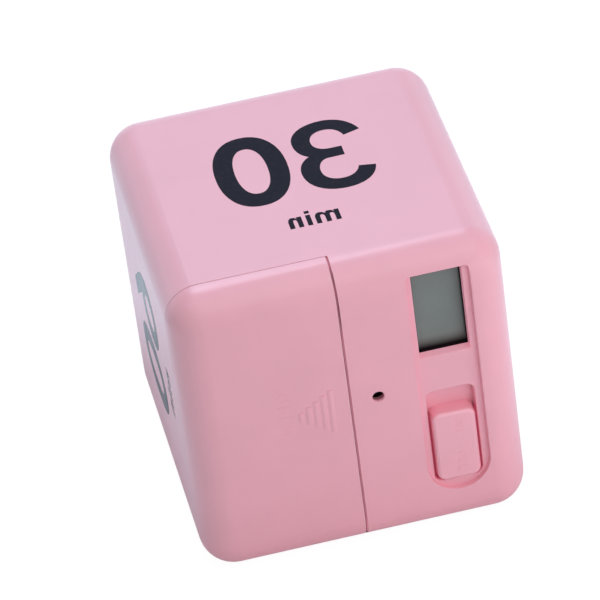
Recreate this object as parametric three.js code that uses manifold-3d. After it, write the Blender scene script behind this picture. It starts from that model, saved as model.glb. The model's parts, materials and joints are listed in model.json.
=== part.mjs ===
// A cube flip timer: a rounded cube with a number printed on four sides. Its front holds a display window, an on/off
// slide key and a sound hole on the right, and a battery door that slides off to the left.
// Millimetres. X runs to the right, Y to the back and Z up; the origin is the middle of the base.
import * as THREE from "three";
import { RoundedBoxGeometry } from "three/addons/geometries/RoundedBoxGeometry.js";
import { mergeVertices } from "three/addons/utils/BufferGeometryUtils.js";
import Module from "manifold-3d";

const wasm = await Module();
wasm.setup();

// Clearances that more than one piece uses
const seatGap = 0.05; // between flat faces that rest on each other
const looseGap = 0.3; // round a piece that is dropped in, and between pieces that slide
const cutOverrun = 5; // how far a cutter runs past the faces that it cuts

// Battery cells
const cellDiameter = 10.5;
const cellLength = 44.5;
const cellNubDiameter = 3.8;
const cellNubHeight = 1;
const cellEdgeRadius = 0.6;
const cellBaseDimple = 0.3;

// Battery contacts and springs
const contactThickness = 0.4;
const contactWidth = 8.2;
const contactFrontReach = 4.6; // from a cell's axis to the plate's front edge
const contactBackReach = 3.2; // from a cell's axis to the plate's back edge
const contactTailWidth = 2.4;
const contactTailLength = 2; // past the back of the tray
const springFittedLength = 4.6;
const springWire = 0.6;
const springBaseDiameter = 7.4;
const springTipDiameter = 4.6;
const springTurns = 3;

// Battery tray
const troughClearance = 0.35; // round a cell in its trough
const troughRidge = 0.6; // between the two troughs
const trayWall = 1.2;
const trayFloor = 1;
const trayEarWidth = 7;
const trayEarThickness = 1.6;

// Case, less the edge length, which the two stacks below set
const caseDepth = 71;
const cornerRadius = 7;
const caseWall = 2.5;
const seamOffset = 0.5; // the door's seam, to the left of the middle
const seamGap = 0.2;
const seamEdge = 0.3; // rounding of the edges on each side of the seam
const seamLipReach = 1.2; // how far the case's lip reaches behind the edge of the door
const doorLineGap = 0.15; // between the door's rim and the case behind it
const bulkheadWall = 1.5;
const recessedPanelWall = 2;
const trayEndRoom = 6.8; // from each end of the tray to the outside of the case

// Display window and the channel that it shares with the slide key
const channelWidth = 12.6;
const channelDepth = 1.2;
const channelFloor = 2;
const channelFromSide = 13.8; // from the channel's centre line to the right side of the case
const channelTopMargin = 4.4;
const channelBottomMargin = 9.3;
const channelPadRim = 1;
const channelTopRadius = 0.8;
const mouthRadius = 0.3; // rounding of the channel's rim
const slotMouthRadius = 0.35; // rounding of the key slot's rim
const windowWidth = 10.1;
const windowHeight = 19.5;
const windowTopMargin = 0.6;
const windowToSlot = 8.5;

// Slide key
const keyWidth = 9;
const keyHeight = 16.5;
const keyCornerRadius = 1.8;
const keyEdgeRadius = 0.7;
const keyTravel = 4.5;
const keySideGap = 0.35;
const keyBottomGap = 0.3;
const keyTopGap = 0.5;
const keySinkage = 0.2; // how far the key's face lies behind the front of the case
const slotBottomMargin = 1.9; // from the channel's lower end to the key's slot
const slotCornerRadius = 1.6;
const keyFlangeRim = 1.2;
const keyFlangeThickness = 1.2;
const keyRailWall = 1.2;
const keyRailLip = 0.9;
const keyForkWall = 1.2;
const keyForkWidth = 4;

// The edge of the cube is as long as the battery stack or the front panel's stack needs, whichever is longer.
const trayLength = cellLength + springFittedLength + 2 * (contactThickness + seatGap + trayWall);
const keySlotHeight = keyHeight + keyTravel + keyBottomGap + keyTopGap;
const batteryStack = trayLength + 2 * trayEndRoom;
const panelStack =
  channelTopMargin + windowTopMargin + windowHeight + windowToSlot +
  keySlotHeight + slotBottomMargin + channelBottomMargin;
const caseEdge = Math.max(batteryStack, panelStack);

// Battery door
const doorWall = 1.8;
const doorTravel = 36;
const doorFlangeThickness = 1.2;
const doorFlangeReach = 1.7; // from the inside of the door's rim
const doorFlangeFromLine = 0.7; // from the recessed panel to the flange
const doorRailWall = 1.2;
const doorRailLipThickness = 1.2;
const doorTongueThickness = 1.4;
const doorTongueReach = 3;
const doorTongueWidth = 8;
const doorTongueRoot = 4;
const doorTongueSpacing = 30;
const gripRibCount = 5;
const gripRibPitch = 1.53;
const gripRibWidth = 0.8;
const gripRibRelief = 0.3;
const gripTallestRib = 10;
const gripRibStep = 2;
const gripFromSeam = 3.8;
const gripHeight = 34.8;

// Back cover
const backWall = 2.2;
const backLineFromBack = 2.7; // from the back of the case to the joint line
const backLineGap = 0.15;
const backLipWall = 1.4;
const backLipDepth = 3;
const backSnapWidth = 9;
const backSnapWall = 1.5;
const backSnapLength = 10;
const backSnapNose = 0.9;
const backSnapNoseLength = 2;
const backSnapSideGap = 0.6;
const backPocketDepth = 1.1;

// Display
const gasketRim = 1;
const gasketThickness = 1;
const displayThickness = 2;
const displayFrameWall = 1;
const displayFrameHeight = 3.8;
const zebraWidth = 1.8;
const zebraEndGap = 1.5;

// Circuit board
const boardThickness = 1.6;
const boardEdgeGap = 0.5;
const boardInnerCornerRadius = 1;
const boardScrewFromSide = 3.5;
const boardScrewFromEnd = 5.5;
const boardOuterScrewFromSide = 2;
const boardOuterScrewHeight = 42;
const boardHoleDiameter = 2.3;
const boardBossDiameter = 4;

// Screws
const screwHeadDiameter = 3.6;
const screwHeadHeight = 1.2;
const screwShankDiameter = 1.5;
const screwLength = 6;
const screwDriveDiameter = 1.5;
const screwDriveDepth = 0.6;
const screwHoleGap = 0.1;
const screwHoleSpare = 0.5; // from the screw's tip to the bottom of its hole

// On/off switch on the board
const switchWidth = 4.4;
const switchHeight = 3.5;
const switchEndWall = 2;
const switchLeverWidth = 2;
const switchLeverReach = 1.6; // out of the body
const switchLeverRoot = 2.2; // inside the body
const switchLeverGap = 0.15;
const switchFromKeyFoot = 8.2; // from the key's lower end to the lever's axis

// Buzzer
const buzzerDiameter = 7;
const buzzerHeight = 6.2;
const buzzerWall = 0.6;
const buzzerPortDiameter = 2.2;
const buzzerFromBulkhead = 0.4;
const soundHoleDiameter = 2.4;
const soundHoleFlare = 0.15;
const soundHoleLip = 0.8; // thickness of the case's wall round the hole, in front of a wider bore
const soundBoreDiameter = 3.6;
const soundHoleHeight = 35.6;

// Tilt sensors: two cans at right angles, each with a loose ball
const tiltCanDiameter = 4.6;
const tiltCanWall = 0.5;
const tiltCanLength = 7.5;
const tiltBaseThickness = 0.8;
const tiltBaseSpigot = 0.8;
const tiltBallDiameter = 3;
const tiltBallTravel = 2.5;
const tiltSpacing = 12;
const tiltHeight = 24;
const tiltAngle = Math.PI / 4;

// Other parts on the back of the board
const chipDiameter = 11;
const chipHeight = 1.6;
const chipRiseHeight = 22; // from the middle of the tilt sensors to the middle of the chip
const chipShoulderRadiusShare = 0.85;
const chipShoulderHeightShare = 0.6;
const chipCrownRadiusShare = 0.5;
const chipCrownHeightShare = 0.92;
const crystalDiameter = 2;
const crystalLength = 6;
const crystalBesideChip = 8.5;
const wireDiameter = 1.2;
const wireSlack = 3; // how far the leads bow back behind what they join
const wirePadSpacing = 4;
const wirePadHeight = 15;
const wirePadFromSide = 4;

// Facets
const cornerSegments = 6;
const innerCornerSegments = 3;
const roundingSharpShare = 0.35; // how far each of a rounded rim's two bevels reaches along its short side
const roundSegments = 24;
const smallRoundSegments = 16;
const wireSegments = 8;
const shortestEdge = 0.001;

// Planes that several pieces share
const caseRight = caseEdge / 2;
const caseLeft = -caseRight;
const caseTop = caseEdge;
const caseFront = -caseDepth / 2;
const caseBack = caseDepth / 2;
const innerRight = caseRight - caseWall;
const innerTop = caseTop - caseWall;
const innerFront = caseFront + caseWall;
const seamX = -seamOffset;
const doorRight = seamX - seamGap / 2;
const bulkheadLeft = seamX + seamGap / 2;
const bulkheadRight = bulkheadLeft + bulkheadWall;
const recessedPanelFront = caseFront + cornerRadius;
const recessedPanelBack = recessedPanelFront + recessedPanelWall;
const backLine = caseBack - backLineFromBack;
const middleZ = caseTop / 2;

// The front panel, from the top down
const channelX = caseRight - channelFromSide;
const channelTop = caseTop - channelTopMargin;
const channelBottom = channelBottomMargin;
const channelFloorFront = caseFront + channelDepth;
const channelFloorBack = channelFloorFront + channelFloor;
const windowTop = channelTop - windowTopMargin;
const windowBottom = windowTop - windowHeight;
const windowZ = (windowTop + windowBottom) / 2;
const slotBottom = channelBottom + slotBottomMargin;
const slotTop = slotBottom + keySlotHeight;
const slotWidth = keyWidth + 2 * keySideGap;
const keyBottom = slotBottom + keyBottomGap;

// The stack behind the channel, from the front to the back
const displayFront = channelFloorBack + gasketThickness;
const displayBack = displayFront + displayThickness;
const boardFront = displayBack + displayFrameHeight;
const boardBack = boardFront + boardThickness;
const keyFlangeFront = channelFloorBack + looseGap;
const keyFlangeBack = keyFlangeFront + keyFlangeThickness;
const keyRailBack = keyFlangeBack + looseGap + keyRailLip;

// The battery bay
const doorInside = caseFront + doorWall;
const tongueFront = innerFront + looseGap;
const tongueBack = tongueFront + doorTongueThickness;
const cellRadius = cellDiameter / 2;
const cellY = tongueBack + looseGap + cellRadius;
const troughRadius = cellRadius + troughClearance;
const trayWidth = 4 * troughRadius + troughRidge + 2 * trayWall;
const trayX = (caseLeft + caseWall + bulkheadLeft) / 2;
const trayLeft = trayX - trayWidth / 2;
const trayRight = trayX + trayWidth / 2;
const trayBottom = middleZ - trayLength / 2;
const trayTop = middleZ + trayLength / 2;
const trayBack = cellY + troughRadius + trayFloor;
const trayEndFront = cellY - contactFrontReach;
const cellOffset = troughRadius + troughRidge / 2;
const bayBottom = trayBottom + trayWall;
const bayTop = trayTop - trayWall;

const pink = (name) =>
  Object.assign(new THREE.MeshStandardMaterial({ color: 0xdf9fb0, roughness: 0.42 }), { name });
const finishes = {
  case: pink("case"),
  door: pink("door"),
  back: pink("back"),
  key: pink("key"),
  tray: pink("tray"),
  steel: new THREE.MeshStandardMaterial({ color: 0xc4c6ca, roughness: 0.3, metalness: 1 }),
  blackened: new THREE.MeshStandardMaterial({ color: 0x3a3b40, roughness: 0.45, metalness: 1 }),
  wrap: new THREE.MeshStandardMaterial({ color: 0x3e6d8e, roughness: 0.35, metalness: 0.2 }),
  black: new THREE.MeshStandardMaterial({ color: 0x141416, roughness: 0.7 }),
  display: new THREE.MeshStandardMaterial({ color: 0x7c8a84, roughness: 0.15 }),
  white: new THREE.MeshStandardMaterial({ color: 0xe9e8e4, roughness: 0.5 }),
  board: new THREE.MeshStandardMaterial({ color: 0x1f5a3a, roughness: 0.4 }),
  rubber: new THREE.MeshStandardMaterial({ color: 0x8d5a63, roughness: 0.8 }),
  red: new THREE.MeshStandardMaterial({ color: 0xb3262b, roughness: 0.5 }),
};

// Solids and meshes

// A closed geometry as a solid, with only its positions kept and its shared vertices merged.
function solid(geometry) {
  const plain = geometry.index ? geometry.toNonIndexed() : geometry.clone();
  plain.deleteAttribute("normal");
  plain.deleteAttribute("uv");
  const merged = mergeVertices(plain, 1e-4);
  return new wasm.Manifold(
    new wasm.Mesh({
      numProp: 3,
      vertProperties: merged.attributes.position.array,
      triVerts: new Uint32Array(merged.index.array),
    }),
  );
}

// The faces of a solid once the ends of its shortest edges are joined. Cuts along matching facets leave such edges.
function withoutShortEdges(points, faces) {
  const joined = points.map((_, index) => index);
  const rootOf = (index) => (joined[index] === index ? index : rootOf(joined[index]));
  for (let i = 0; i < faces.length; i++) {
    const from = rootOf(faces[i]);
    const to = rootOf(faces[i % 3 === 2 ? i - 2 : i + 1]);
    if (from !== to && points[from].distanceTo(points[to]) < shortestEdge) joined[from] = to;
  }
  const kept = [];
  for (let i = 0; i < faces.length; i += 3) {
    const [a, b, c] = [rootOf(faces[i]), rootOf(faces[i + 1]), rootOf(faces[i + 2])];
    if (a !== b && b !== c && c !== a) kept.push(a, b, c);
  }
  return kept;
}

// A solid as a geometry for a mesh.
function geometryOf(shape) {
  const { vertProperties, numProp, triVerts } = shape.getMesh();
  const points = Array.from({ length: vertProperties.length / numProp }, (_, index) =>
    new THREE.Vector3().fromArray(vertProperties, index * numProp),
  );
  const geometry = new THREE.BufferGeometry().setFromPoints(points);
  geometry.setIndex(withoutShortEdges(points, Array.from(triVerts)));
  geometry.computeVertexNormals();
  return geometry;
}

function named(name, geometry, material) {
  const mesh = new THREE.Mesh(geometry, material);
  mesh.name = name;
  return mesh;
}

const piece = (name, shape, material) => named(name, geometryOf(shape), material);

function group(...members) {
  const made = new THREE.Group();
  made.add(...members);
  return made;
}

const union = (first, ...others) => others.reduce((sum, shape) => sum.add(shape), first);
const cut = (first, ...others) => others.reduce((rest, shape) => rest.subtract(shape), first);

// A box between two corners.
function block([x0, x1], [y0, y1], [z0, z1]) {
  const box = new THREE.BoxGeometry(x1 - x0, y1 - y0, z1 - z0);
  return solid(box.translate((x0 + x1) / 2, (y0 + y1) / 2, (z0 + z1) / 2));
}

// A box with all its edges rounded.
function roundedBlock([x0, x1], [y0, y1], [z0, z1], radius, segments = cornerSegments) {
  const box = new RoundedBoxGeometry(x1 - x0, y1 - y0, z1 - z0, segments, radius);
  return solid(box.translate((x0 + x1) / 2, (y0 + y1) / 2, (z0 + z1) / 2));
}

// A rectangle in the front view with its own radius for the upper and the lower corners.
function frontRectangle([x0, x1], [z0, z1], topRadius, bottomRadius = topRadius) {
  const shape = new THREE.Shape();
  shape.moveTo(x0 + bottomRadius, z0);
  shape.lineTo(x1 - bottomRadius, z0);
  shape.absarc(x1 - bottomRadius, z0 + bottomRadius, bottomRadius, -Math.PI / 2, 0, false);
  shape.lineTo(x1, z1 - topRadius);
  shape.absarc(x1 - topRadius, z1 - topRadius, topRadius, 0, Math.PI / 2, false);
  shape.lineTo(x0 + topRadius, z1);
  shape.absarc(x0 + topRadius, z1 - topRadius, topRadius, Math.PI / 2, Math.PI, false);
  shape.lineTo(x0, z0 + bottomRadius);
  shape.absarc(x0 + bottomRadius, z0 + bottomRadius, bottomRadius, Math.PI, 1.5 * Math.PI, false);
  return shape;
}

// A shape drawn in the front view, run from y0 back to y1.
function frontPrism(shape, [y0, y1], options = {}) {
  const settings = { depth: y1 - y0, bevelEnabled: false, curveSegments: cornerSegments, ...options };
  const prism = new THREE.ExtrudeGeometry(shape, settings);
  return solid(prism.rotateX(Math.PI / 2).translate(0, y1, 0));
}

// What rounds the rim where a shape is cut into a face at y: two bevels, a wide one and a deep one.
function rimRounding(shape, y, radius) {
  const sharp = roundingSharpShare * radius;
  const bevels = [
    [radius, sharp],
    [sharp, radius],
  ].map(([size, thickness]) =>
    frontPrism(shape, [y - cutOverrun, y], {
      bevelEnabled: true,
      bevelThickness: thickness,
      bevelSize: size,
      bevelSegments: 1,
    }),
  );
  return union(...bevels);
}

// A profile of [radius, height] points turned about an upright axis.
function turned(profile, segments = roundSegments) {
  const points = profile.map(([radius, height]) => new THREE.Vector2(radius, height));
  return new THREE.LatheGeometry(points, segments).rotateX(Math.PI / 2);
}

// A round bar along Y between y0 and y1.
function barAlongY(x, z, diameter, [y0, y1], segments = smallRoundSegments) {
  const bar = new THREE.CylinderGeometry(diameter / 2, diameter / 2, y1 - y0, segments);
  return solid(bar.translate(x, (y0 + y1) / 2, z));
}

// A round bar upright between z0 and z1.
function barAlongZ(x, y, diameter, [z0, z1], segments = roundSegments) {
  const bar = new THREE.CylinderGeometry(diameter / 2, diameter / 2, z1 - z0, segments);
  return solid(bar.rotateX(Math.PI / 2).translate(x, y, (z0 + z1) / 2));
}

// A tube through rings of points, closed at both ends.
function skinned(rings) {
  const sides = rings[0].length;
  const points = rings.flat();
  const faces = [];
  for (let ring = 0; ring + 1 < rings.length; ring++) {
    for (let side = 0; side < sides; side++) {
      const a = ring * sides + side;
      const b = ring * sides + ((side + 1) % sides);
      faces.push(a, b + sides, b, a, a + sides, b + sides);
    }
  }
  const last = (rings.length - 1) * sides;
  for (let side = 1; side + 1 < sides; side++) {
    faces.push(0, side, side + 1, last, last + side + 1, last + side);
  }
  const geometry = new THREE.BufferGeometry().setFromPoints(points);
  geometry.setIndex(faces);
  return geometry;
}

// Case, door and back cover

// The whole outside of the cube.
const cube = () =>
  roundedBlock([caseLeft, caseRight], [caseFront, caseBack], [0, caseTop], cornerRadius);

// A block that takes in everything to the left of x and in front of y.
const frontLeft = (x, y) =>
  block([caseLeft - cutOverrun, x], [caseFront - cutOverrun, y], [-cutOverrun, caseTop + cutOverrun]);

// The heights of the door's two tongues.
const tongueSpans = [-1, 1].map((side) => {
  const middle = middleZ + (side * doorTongueSpacing) / 2;
  return [middle - doorTongueWidth / 2, middle + doorTongueWidth / 2];
});

const doorRimBack = recessedPanelFront - doorLineGap;
const doorRimInside = cornerRadius - doorWall;
const seamLipLeft = doorRight - seamLipReach;
const doorFlangeFront = recessedPanelFront - doorFlangeFromLine - doorFlangeThickness;
const doorFlangeInner = caseTop - doorWall - doorFlangeReach;
const railLipBack = doorFlangeFront - looseGap;
const railLipFront = railLipBack - doorRailLipThickness;
const railWebOuter = doorFlangeInner - looseGap;
const railLeft = caseLeft + cornerRadius;

// How far the inside of the door's rim stands from the top of the case at y.
function rimInsideAt(y) {
  const drop = recessedPanelFront - y;
  return caseTop - cornerRadius + Math.sqrt(doorRimInside ** 2 - drop ** 2);
}

// The rail that the door's flange runs behind, at the top of the recessed panel.
function doorRail() {
  const along = [railLeft, bulkheadLeft];
  const webInner = railWebOuter - doorRailWall;
  const lipOuter = rimInsideAt(railLipFront) - looseGap;
  return union(
    block(along, [railLipFront, recessedPanelBack], [webInner, railWebOuter]),
    block(along, [railLipFront, railLipBack], [webInner, lipOuter]),
  );
}

// What rounds the outer edge of the seam at x, from the front to back, on the side that the material lies on.
function seamRounding(x, side, back) {
  const margin = seamEdge / 2;
  const rounding = seamEdge + margin;
  const outline = frontRectangle(
    [caseFront - margin, caseBack + margin],
    [-margin, caseTop + margin],
    cornerRadius + margin,
  );
  const bar = frontPrism(outline, [rounding, caseEdge], {
    bevelEnabled: true,
    bevelThickness: rounding,
    bevelSize: rounding,
    bevelOffset: -rounding,
    bevelSegments: 2,
  });
  const inside = bar.rotate([0, 0, 90]).mirror([side > 0 ? 1 : 0, side > 0 ? 0 : 1, 0]);
  const edge = block(
    [Math.min(x, x + 2 * side * rounding), Math.max(x, x + 2 * side * rounding)],
    [caseFront - cutOverrun, back],
    [-cutOverrun, caseTop + cutOverrun],
  );
  return edge.subtract(inside.translate([x, 0, 0]));
}

// The lip that the case holds behind the right edge of the door, so that the seam can't be seen through.
function seamLip() {
  const clearance = doorWall + looseGap;
  const inside = roundedBlock(
    [caseLeft + clearance, caseRight],
    [caseFront + clearance, caseBack],
    [clearance, caseTop - clearance],
    cornerRadius - clearance,
    innerCornerSegments,
  );
  const lip = block([seamLipLeft, bulkheadRight], [caseFront, recessedPanelBack], [0, caseTop]);
  return lip.intersect(inside);
}

// What is made at the top and mirrored to the bottom.
const topAndBottom = (shape) => shape.add(shape.mirror([0, 0, 1]).translate([0, 0, caseTop]));

const boardLeft = bulkheadRight + boardEdgeGap;
const boardRight = innerRight - boardEdgeGap;
const boardBottom = caseWall + boardEdgeGap;
const boardTop = innerTop - boardEdgeGap;
const boardScrewPlaces = [
  [boardLeft + boardScrewFromSide, boardBottom + boardScrewFromEnd],
  [boardLeft + boardScrewFromSide, boardTop - boardScrewFromEnd],
  [boardRight - boardOuterScrewFromSide, boardOuterScrewHeight],
];

// The tray's ears lie between the tray's ends and the top and the bottom of the case.
const earBossDiameter = innerTop - trayTop - 2 * looseGap;
const earZ = (innerTop + trayTop) / 2;
const earFront = trayBack - trayEarThickness;

const screwHoleDiameter = screwShankDiameter + 2 * screwHoleGap;

// A boss that stands on a wall and is drilled from its free end at y1.
function screwBoss(x, z, diameter, [y0, y1]) {
  const depth = screwLength + screwHoleSpare;
  return {
    boss: barAlongY(x, z, diameter, [y0, y1]),
    hole: barAlongY(x, z, screwHoleDiameter, [y1 - depth, y1 + cutOverrun]),
  };
}

const flangeWidth = slotWidth + 2 * keyFlangeRim;
const flangeBottom = slotBottom - keyFlangeRim / 2 - keyTravel;
const flangeTop = slotTop + keyFlangeRim / 2;

// The two rails behind the front panel that hold the key's flange.
function keyRails() {
  const span = [flangeBottom - looseGap, flangeTop + keyTravel + looseGap];
  return union(
    ...[-1, 1].map((side) => {
      const inner = channelX + side * (flangeWidth / 2 + looseGap);
      const outer = inner + side * keyRailWall;
      const lip = inner - side * (looseGap + keyRailLip);
      const sorted = (a, b) => [Math.min(a, b), Math.max(a, b)];
      return union(
        block(sorted(inner, outer), [channelFloorFront, keyRailBack], span),
        block(sorted(lip, outer), [keyFlangeBack + looseGap, keyRailBack], span),
      );
    }),
  );
}

const soundHoleX = bulkheadRight + buzzerFromBulkhead + buzzerDiameter / 2;

// The sound hole, flared at the front, and the wider bore behind it.
function soundHole() {
  const radius = soundHoleDiameter / 2;
  const boreRadius = soundBoreDiameter / 2;
  const flared = turned(
    [
      [0, -soundHoleFlare],
      [radius + 2 * soundHoleFlare, -soundHoleFlare],
      [radius, soundHoleFlare],
      [radius, soundHoleLip],
      [boreRadius, soundHoleLip],
      [boreRadius, caseWall + soundHoleFlare],
      [0, caseWall + soundHoleFlare],
    ],
    smallRoundSegments,
  );
  return solid(flared.rotateX(-Math.PI / 2).translate(soundHoleX, caseFront, soundHoleHeight));
}

const snapNoseBack = backLine - backSnapLength + backSnapNoseLength;
const snapNoseFront = backLine - backSnapLength;

// What a snap on the top wall takes, turned to each of the four walls about the middle of the case.
function onFourWalls(shape) {
  const centred = shape.translate([0, 0, -middleZ]);
  const turnedRound = [0, 90, 180, 270].map((angle) => centred.rotate([0, angle, 0]));
  return union(...turnedRound).translate([0, 0, middleZ]);
}

// The pocket inside the top wall that a snap's nose springs into.
function snapPocket() {
  const halfWidth = backSnapWidth / 2 + looseGap;
  return block(
    [-halfWidth, halfWidth],
    [snapNoseFront - looseGap, snapNoseBack + looseGap],
    [innerTop - looseGap, innerTop + backPocketDepth],
  );
}

// The pocket behind the channel that the display drops into.
function displayPocket() {
  const [x0, x1] = displaySides;
  const [z0, z1] = displaySpan;
  return block([x0 - looseGap, x1 + looseGap], [channelFloorBack, boardFront], [z0 - looseGap, z1 + looseGap]);
}

function mainHousing() {
  const outside = cube();
  const inside = roundedBlock(
    [-innerRight, innerRight],
    [innerFront, caseBack + cornerRadius],
    [caseWall, innerTop],
    cornerRadius - caseWall,
    innerCornerSegments,
  );
  const behindBackLine = block(
    [caseLeft - cutOverrun, caseRight + cutOverrun],
    [backLine, caseBack + cutOverrun],
    [-cutOverrun, caseTop + cutOverrun],
  );
  const full = [0, caseTop];
  const panel = block([caseLeft, bulkheadRight], [recessedPanelFront, recessedPanelBack], full);
  const bulkhead = block([bulkheadLeft, bulkheadRight], [caseFront, recessedPanelBack], full);
  const shell = cut(outside, inside, behindBackLine, frontLeft(bulkheadLeft, recessedPanelFront));
  const inner = union(panel, bulkhead).intersect(outside);

  const channelSides = [channelX - channelWidth / 2, channelX + channelWidth / 2];
  const pad = block(
    [channelSides[0] - channelPadRim, channelSides[1] + channelPadRim],
    [channelFloorFront, channelFloorBack],
    [channelBottom - channelPadRim, channelTop + channelPadRim],
  ).intersect(outside);
  const boardBosses = boardScrewPlaces.map(([x, z]) =>
    screwBoss(x, z, boardBossDiameter, [channelFloorFront, boardFront - seatGap]),
  );
  const earBosses = [earZ, caseTop - earZ].map((z) =>
    screwBoss(trayX, z, earBossDiameter, [recessedPanelFront, earFront - seatGap]),
  );
  const bosses = [...boardBosses, ...earBosses];

  const channelOutline = frontRectangle(
    channelSides,
    [channelBottom, channelTop],
    channelTopRadius,
    channelWidth / 2,
  );
  const channel = union(
    frontPrism(channelOutline, [caseFront - cutOverrun, channelFloorFront]),
    rimRounding(channelOutline, caseFront, mouthRadius),
  );
  const windowSides = [channelX - windowWidth / 2, channelX + windowWidth / 2];
  const through = [caseFront - cutOverrun, channelFloorBack + seatGap];
  const window = block(windowSides, through, [windowBottom, windowTop]);
  const slotSides = [channelX - slotWidth / 2, channelX + slotWidth / 2];
  const slotOutline = frontRectangle(slotSides, [slotBottom, slotTop], slotCornerRadius);
  const slot = union(
    frontPrism(slotOutline, through),
    rimRounding(slotOutline, channelFloorFront, slotMouthRadius),
  );
  const trayOpening = block(
    [trayLeft - looseGap, trayRight + looseGap],
    [recessedPanelFront - cutOverrun, recessedPanelBack + seatGap],
    [trayBottom - looseGap, trayTop + looseGap],
  );
  const tongueSlots = tongueSpans.flatMap(([z0, z1]) => {
    const span = [z0 - looseGap, z1 + looseGap];
    return [
      block([seamLipLeft - seatGap, bulkheadLeft], [doorInside, tongueBack + looseGap], span),
      block([seamLipLeft, bulkheadRight + seatGap], [innerFront, tongueBack + looseGap], span),
    ];
  });
  const bossSolids = bosses.map(({ boss }) => boss);
  return cut(
    union(shell, inner, seamLip(), pad, topAndBottom(doorRail()), keyRails(), ...bossSolids),
    seamRounding(bulkheadLeft, 1, doorRimBack),
    ...bosses.map(({ hole }) => hole),
    channel,
    window,
    slot,
    soundHole(),
    displayPocket(),
    trayOpening,
    ...tongueSlots,
    onFourWalls(snapPocket()),
  );
}

// The door's grip: upright ribs that get shorter to the left, so that they point the way it slides.
function gripRibs() {
  return Array.from({ length: gripRibCount }, (_, rib) => {
    const x = seamX - gripFromSeam - rib * gripRibPitch;
    const half = (gripTallestRib - rib * gripRibStep) / 2;
    return block(
      [x - gripRibWidth / 2, x + gripRibWidth / 2],
      [caseFront - gripRibRelief, caseFront + doorWall / 2],
      [gripHeight - half, gripHeight + half],
    );
  });
}

function batteryDoor() {
  const outside = cube().intersect(frontLeft(doorRight, doorRimBack));
  const hollow = roundedBlock(
    [caseLeft + doorWall, caseRight],
    [doorInside, caseBack],
    [doorWall, caseTop - doorWall],
    cornerRadius - doorWall,
    innerCornerSegments,
  );
  const flange = block(
    [railLeft, seamLipLeft - looseGap],
    [doorFlangeFront, doorFlangeFront + doorFlangeThickness],
    [doorFlangeInner, caseTop - doorWall / 2],
  ).intersect(cube());
  const tongues = tongueSpans.flatMap((span) => [
    block([doorRight - doorTongueRoot, doorRight], [doorInside - doorWall / 2, tongueBack], span),
    block([doorRight - doorTongueRoot, doorRight + doorTongueReach], [tongueFront, tongueBack], span),
  ]);
  const shell = cut(outside, hollow, seamRounding(doorRight, -1, recessedPanelFront));
  return union(shell, topAndBottom(flange), ...tongues, ...gripRibs());
}

function backCover() {
  const front = backLine + backLineGap;
  const behind = block(
    [caseLeft - cutOverrun, caseRight + cutOverrun],
    [front, caseBack + cutOverrun],
    [-cutOverrun, caseTop + cutOverrun],
  );
  const plateInside = caseBack - backWall;
  const plate = cube().intersect(behind);
  const lipOuter = innerRight - looseGap;
  const lipRadius = cornerRadius - caseWall - looseGap;
  const ring = (inset, radius, [y0, y1]) =>
    frontPrism(
      frontRectangle(
        [-lipOuter + inset, lipOuter - inset],
        [middleZ - lipOuter + inset, middleZ + lipOuter - inset],
        radius,
      ),
      [y0, y1],
    );
  const lip = ring(0, lipRadius, [backLine - backLipDepth, plateInside + seatGap]);
  const opening = ring(backLipWall, lipRadius - backLipWall, [backLine - cutOverrun, plateInside]);
  const snapTop = innerTop - looseGap;
  const halfSnap = backSnapWidth / 2;
  const snapSlot = block(
    [-halfSnap - backSnapSideGap, halfSnap + backSnapSideGap],
    [backLine - backLipDepth - cutOverrun, front],
    [snapTop - backLipWall - seatGap, innerTop],
  );
  const snap = union(
    block([-halfSnap, halfSnap], [snapNoseFront, plateInside + seatGap], [snapTop - backSnapWall, snapTop]),
    block([-halfSnap, halfSnap], [snapNoseFront, snapNoseBack], [snapTop - backSnapWall, snapTop + backSnapNose]),
  );
  return union(cut(union(plate, lip), opening, onFourWalls(snapSlot)), onFourWalls(snap));
}

// Battery tray, cells, contacts and springs

function batteryTray() {
  const ends = [
    [trayBottom, bayBottom],
    [bayTop, trayTop],
  ];
  const body = block([trayLeft, trayRight], [recessedPanelFront, trayBack], [trayBottom, trayTop]);
  const endWalls = ends.map((end) => block([trayLeft, trayRight], [trayEndFront, trayBack], end));
  const ear = block(
    [trayX - trayEarWidth / 2, trayX + trayEarWidth / 2],
    [earFront, trayBack],
    [trayTop - trayWall, innerTop - looseGap],
  );
  const troughs = [-1, 1].flatMap((side) => {
    const x = trayX + side * cellOffset;
    const sides = [x - troughRadius, x + troughRadius];
    return [
      barAlongZ(x, cellY, 2 * troughRadius, [bayBottom, bayTop]),
      block(sides, [recessedPanelFront - cutOverrun, cellY], [bayBottom, bayTop]),
    ];
  });
  const tailSlots = [-1, 1].map((side) => {
    const x = trayX + side * cellOffset;
    const half = contactTailWidth / 2 + looseGap;
    return block(
      [x - half, x + half],
      [cellY, trayBack + cutOverrun],
      [bayBottom, bayBottom + contactThickness + 2 * looseGap],
    );
  });
  const earHoles = [earZ, caseTop - earZ].map((z) =>
    barAlongY(trayX, z, screwHoleDiameter + 2 * screwHoleGap, [earFront - cutOverrun, trayBack + cutOverrun]),
  );
  return cut(union(body, ...endWalls, topAndBottom(ear)), ...troughs, ...tailSlots, ...earHoles);
}

// One cell, standing on its flat end with its middle on the axis.
function cell() {
  const radius = cellDiameter / 2;
  const nub = cellNubDiameter / 2;
  const shoulder = cellLength - cellNubHeight;
  const dimple = radius - 2 * cellEdgeRadius;
  return turned([
    [0, cellBaseDimple],
    [dimple - cellEdgeRadius, cellBaseDimple],
    [dimple, 0],
    [radius - cellEdgeRadius, 0],
    [radius, cellEdgeRadius],
    [radius, shoulder - cellEdgeRadius],
    [radius - cellEdgeRadius, shoulder],
    [nub, shoulder],
    [nub, cellLength - cellBaseDimple],
    [nub - cellBaseDimple, cellLength],
    [0, cellLength],
  ]);
}

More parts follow.
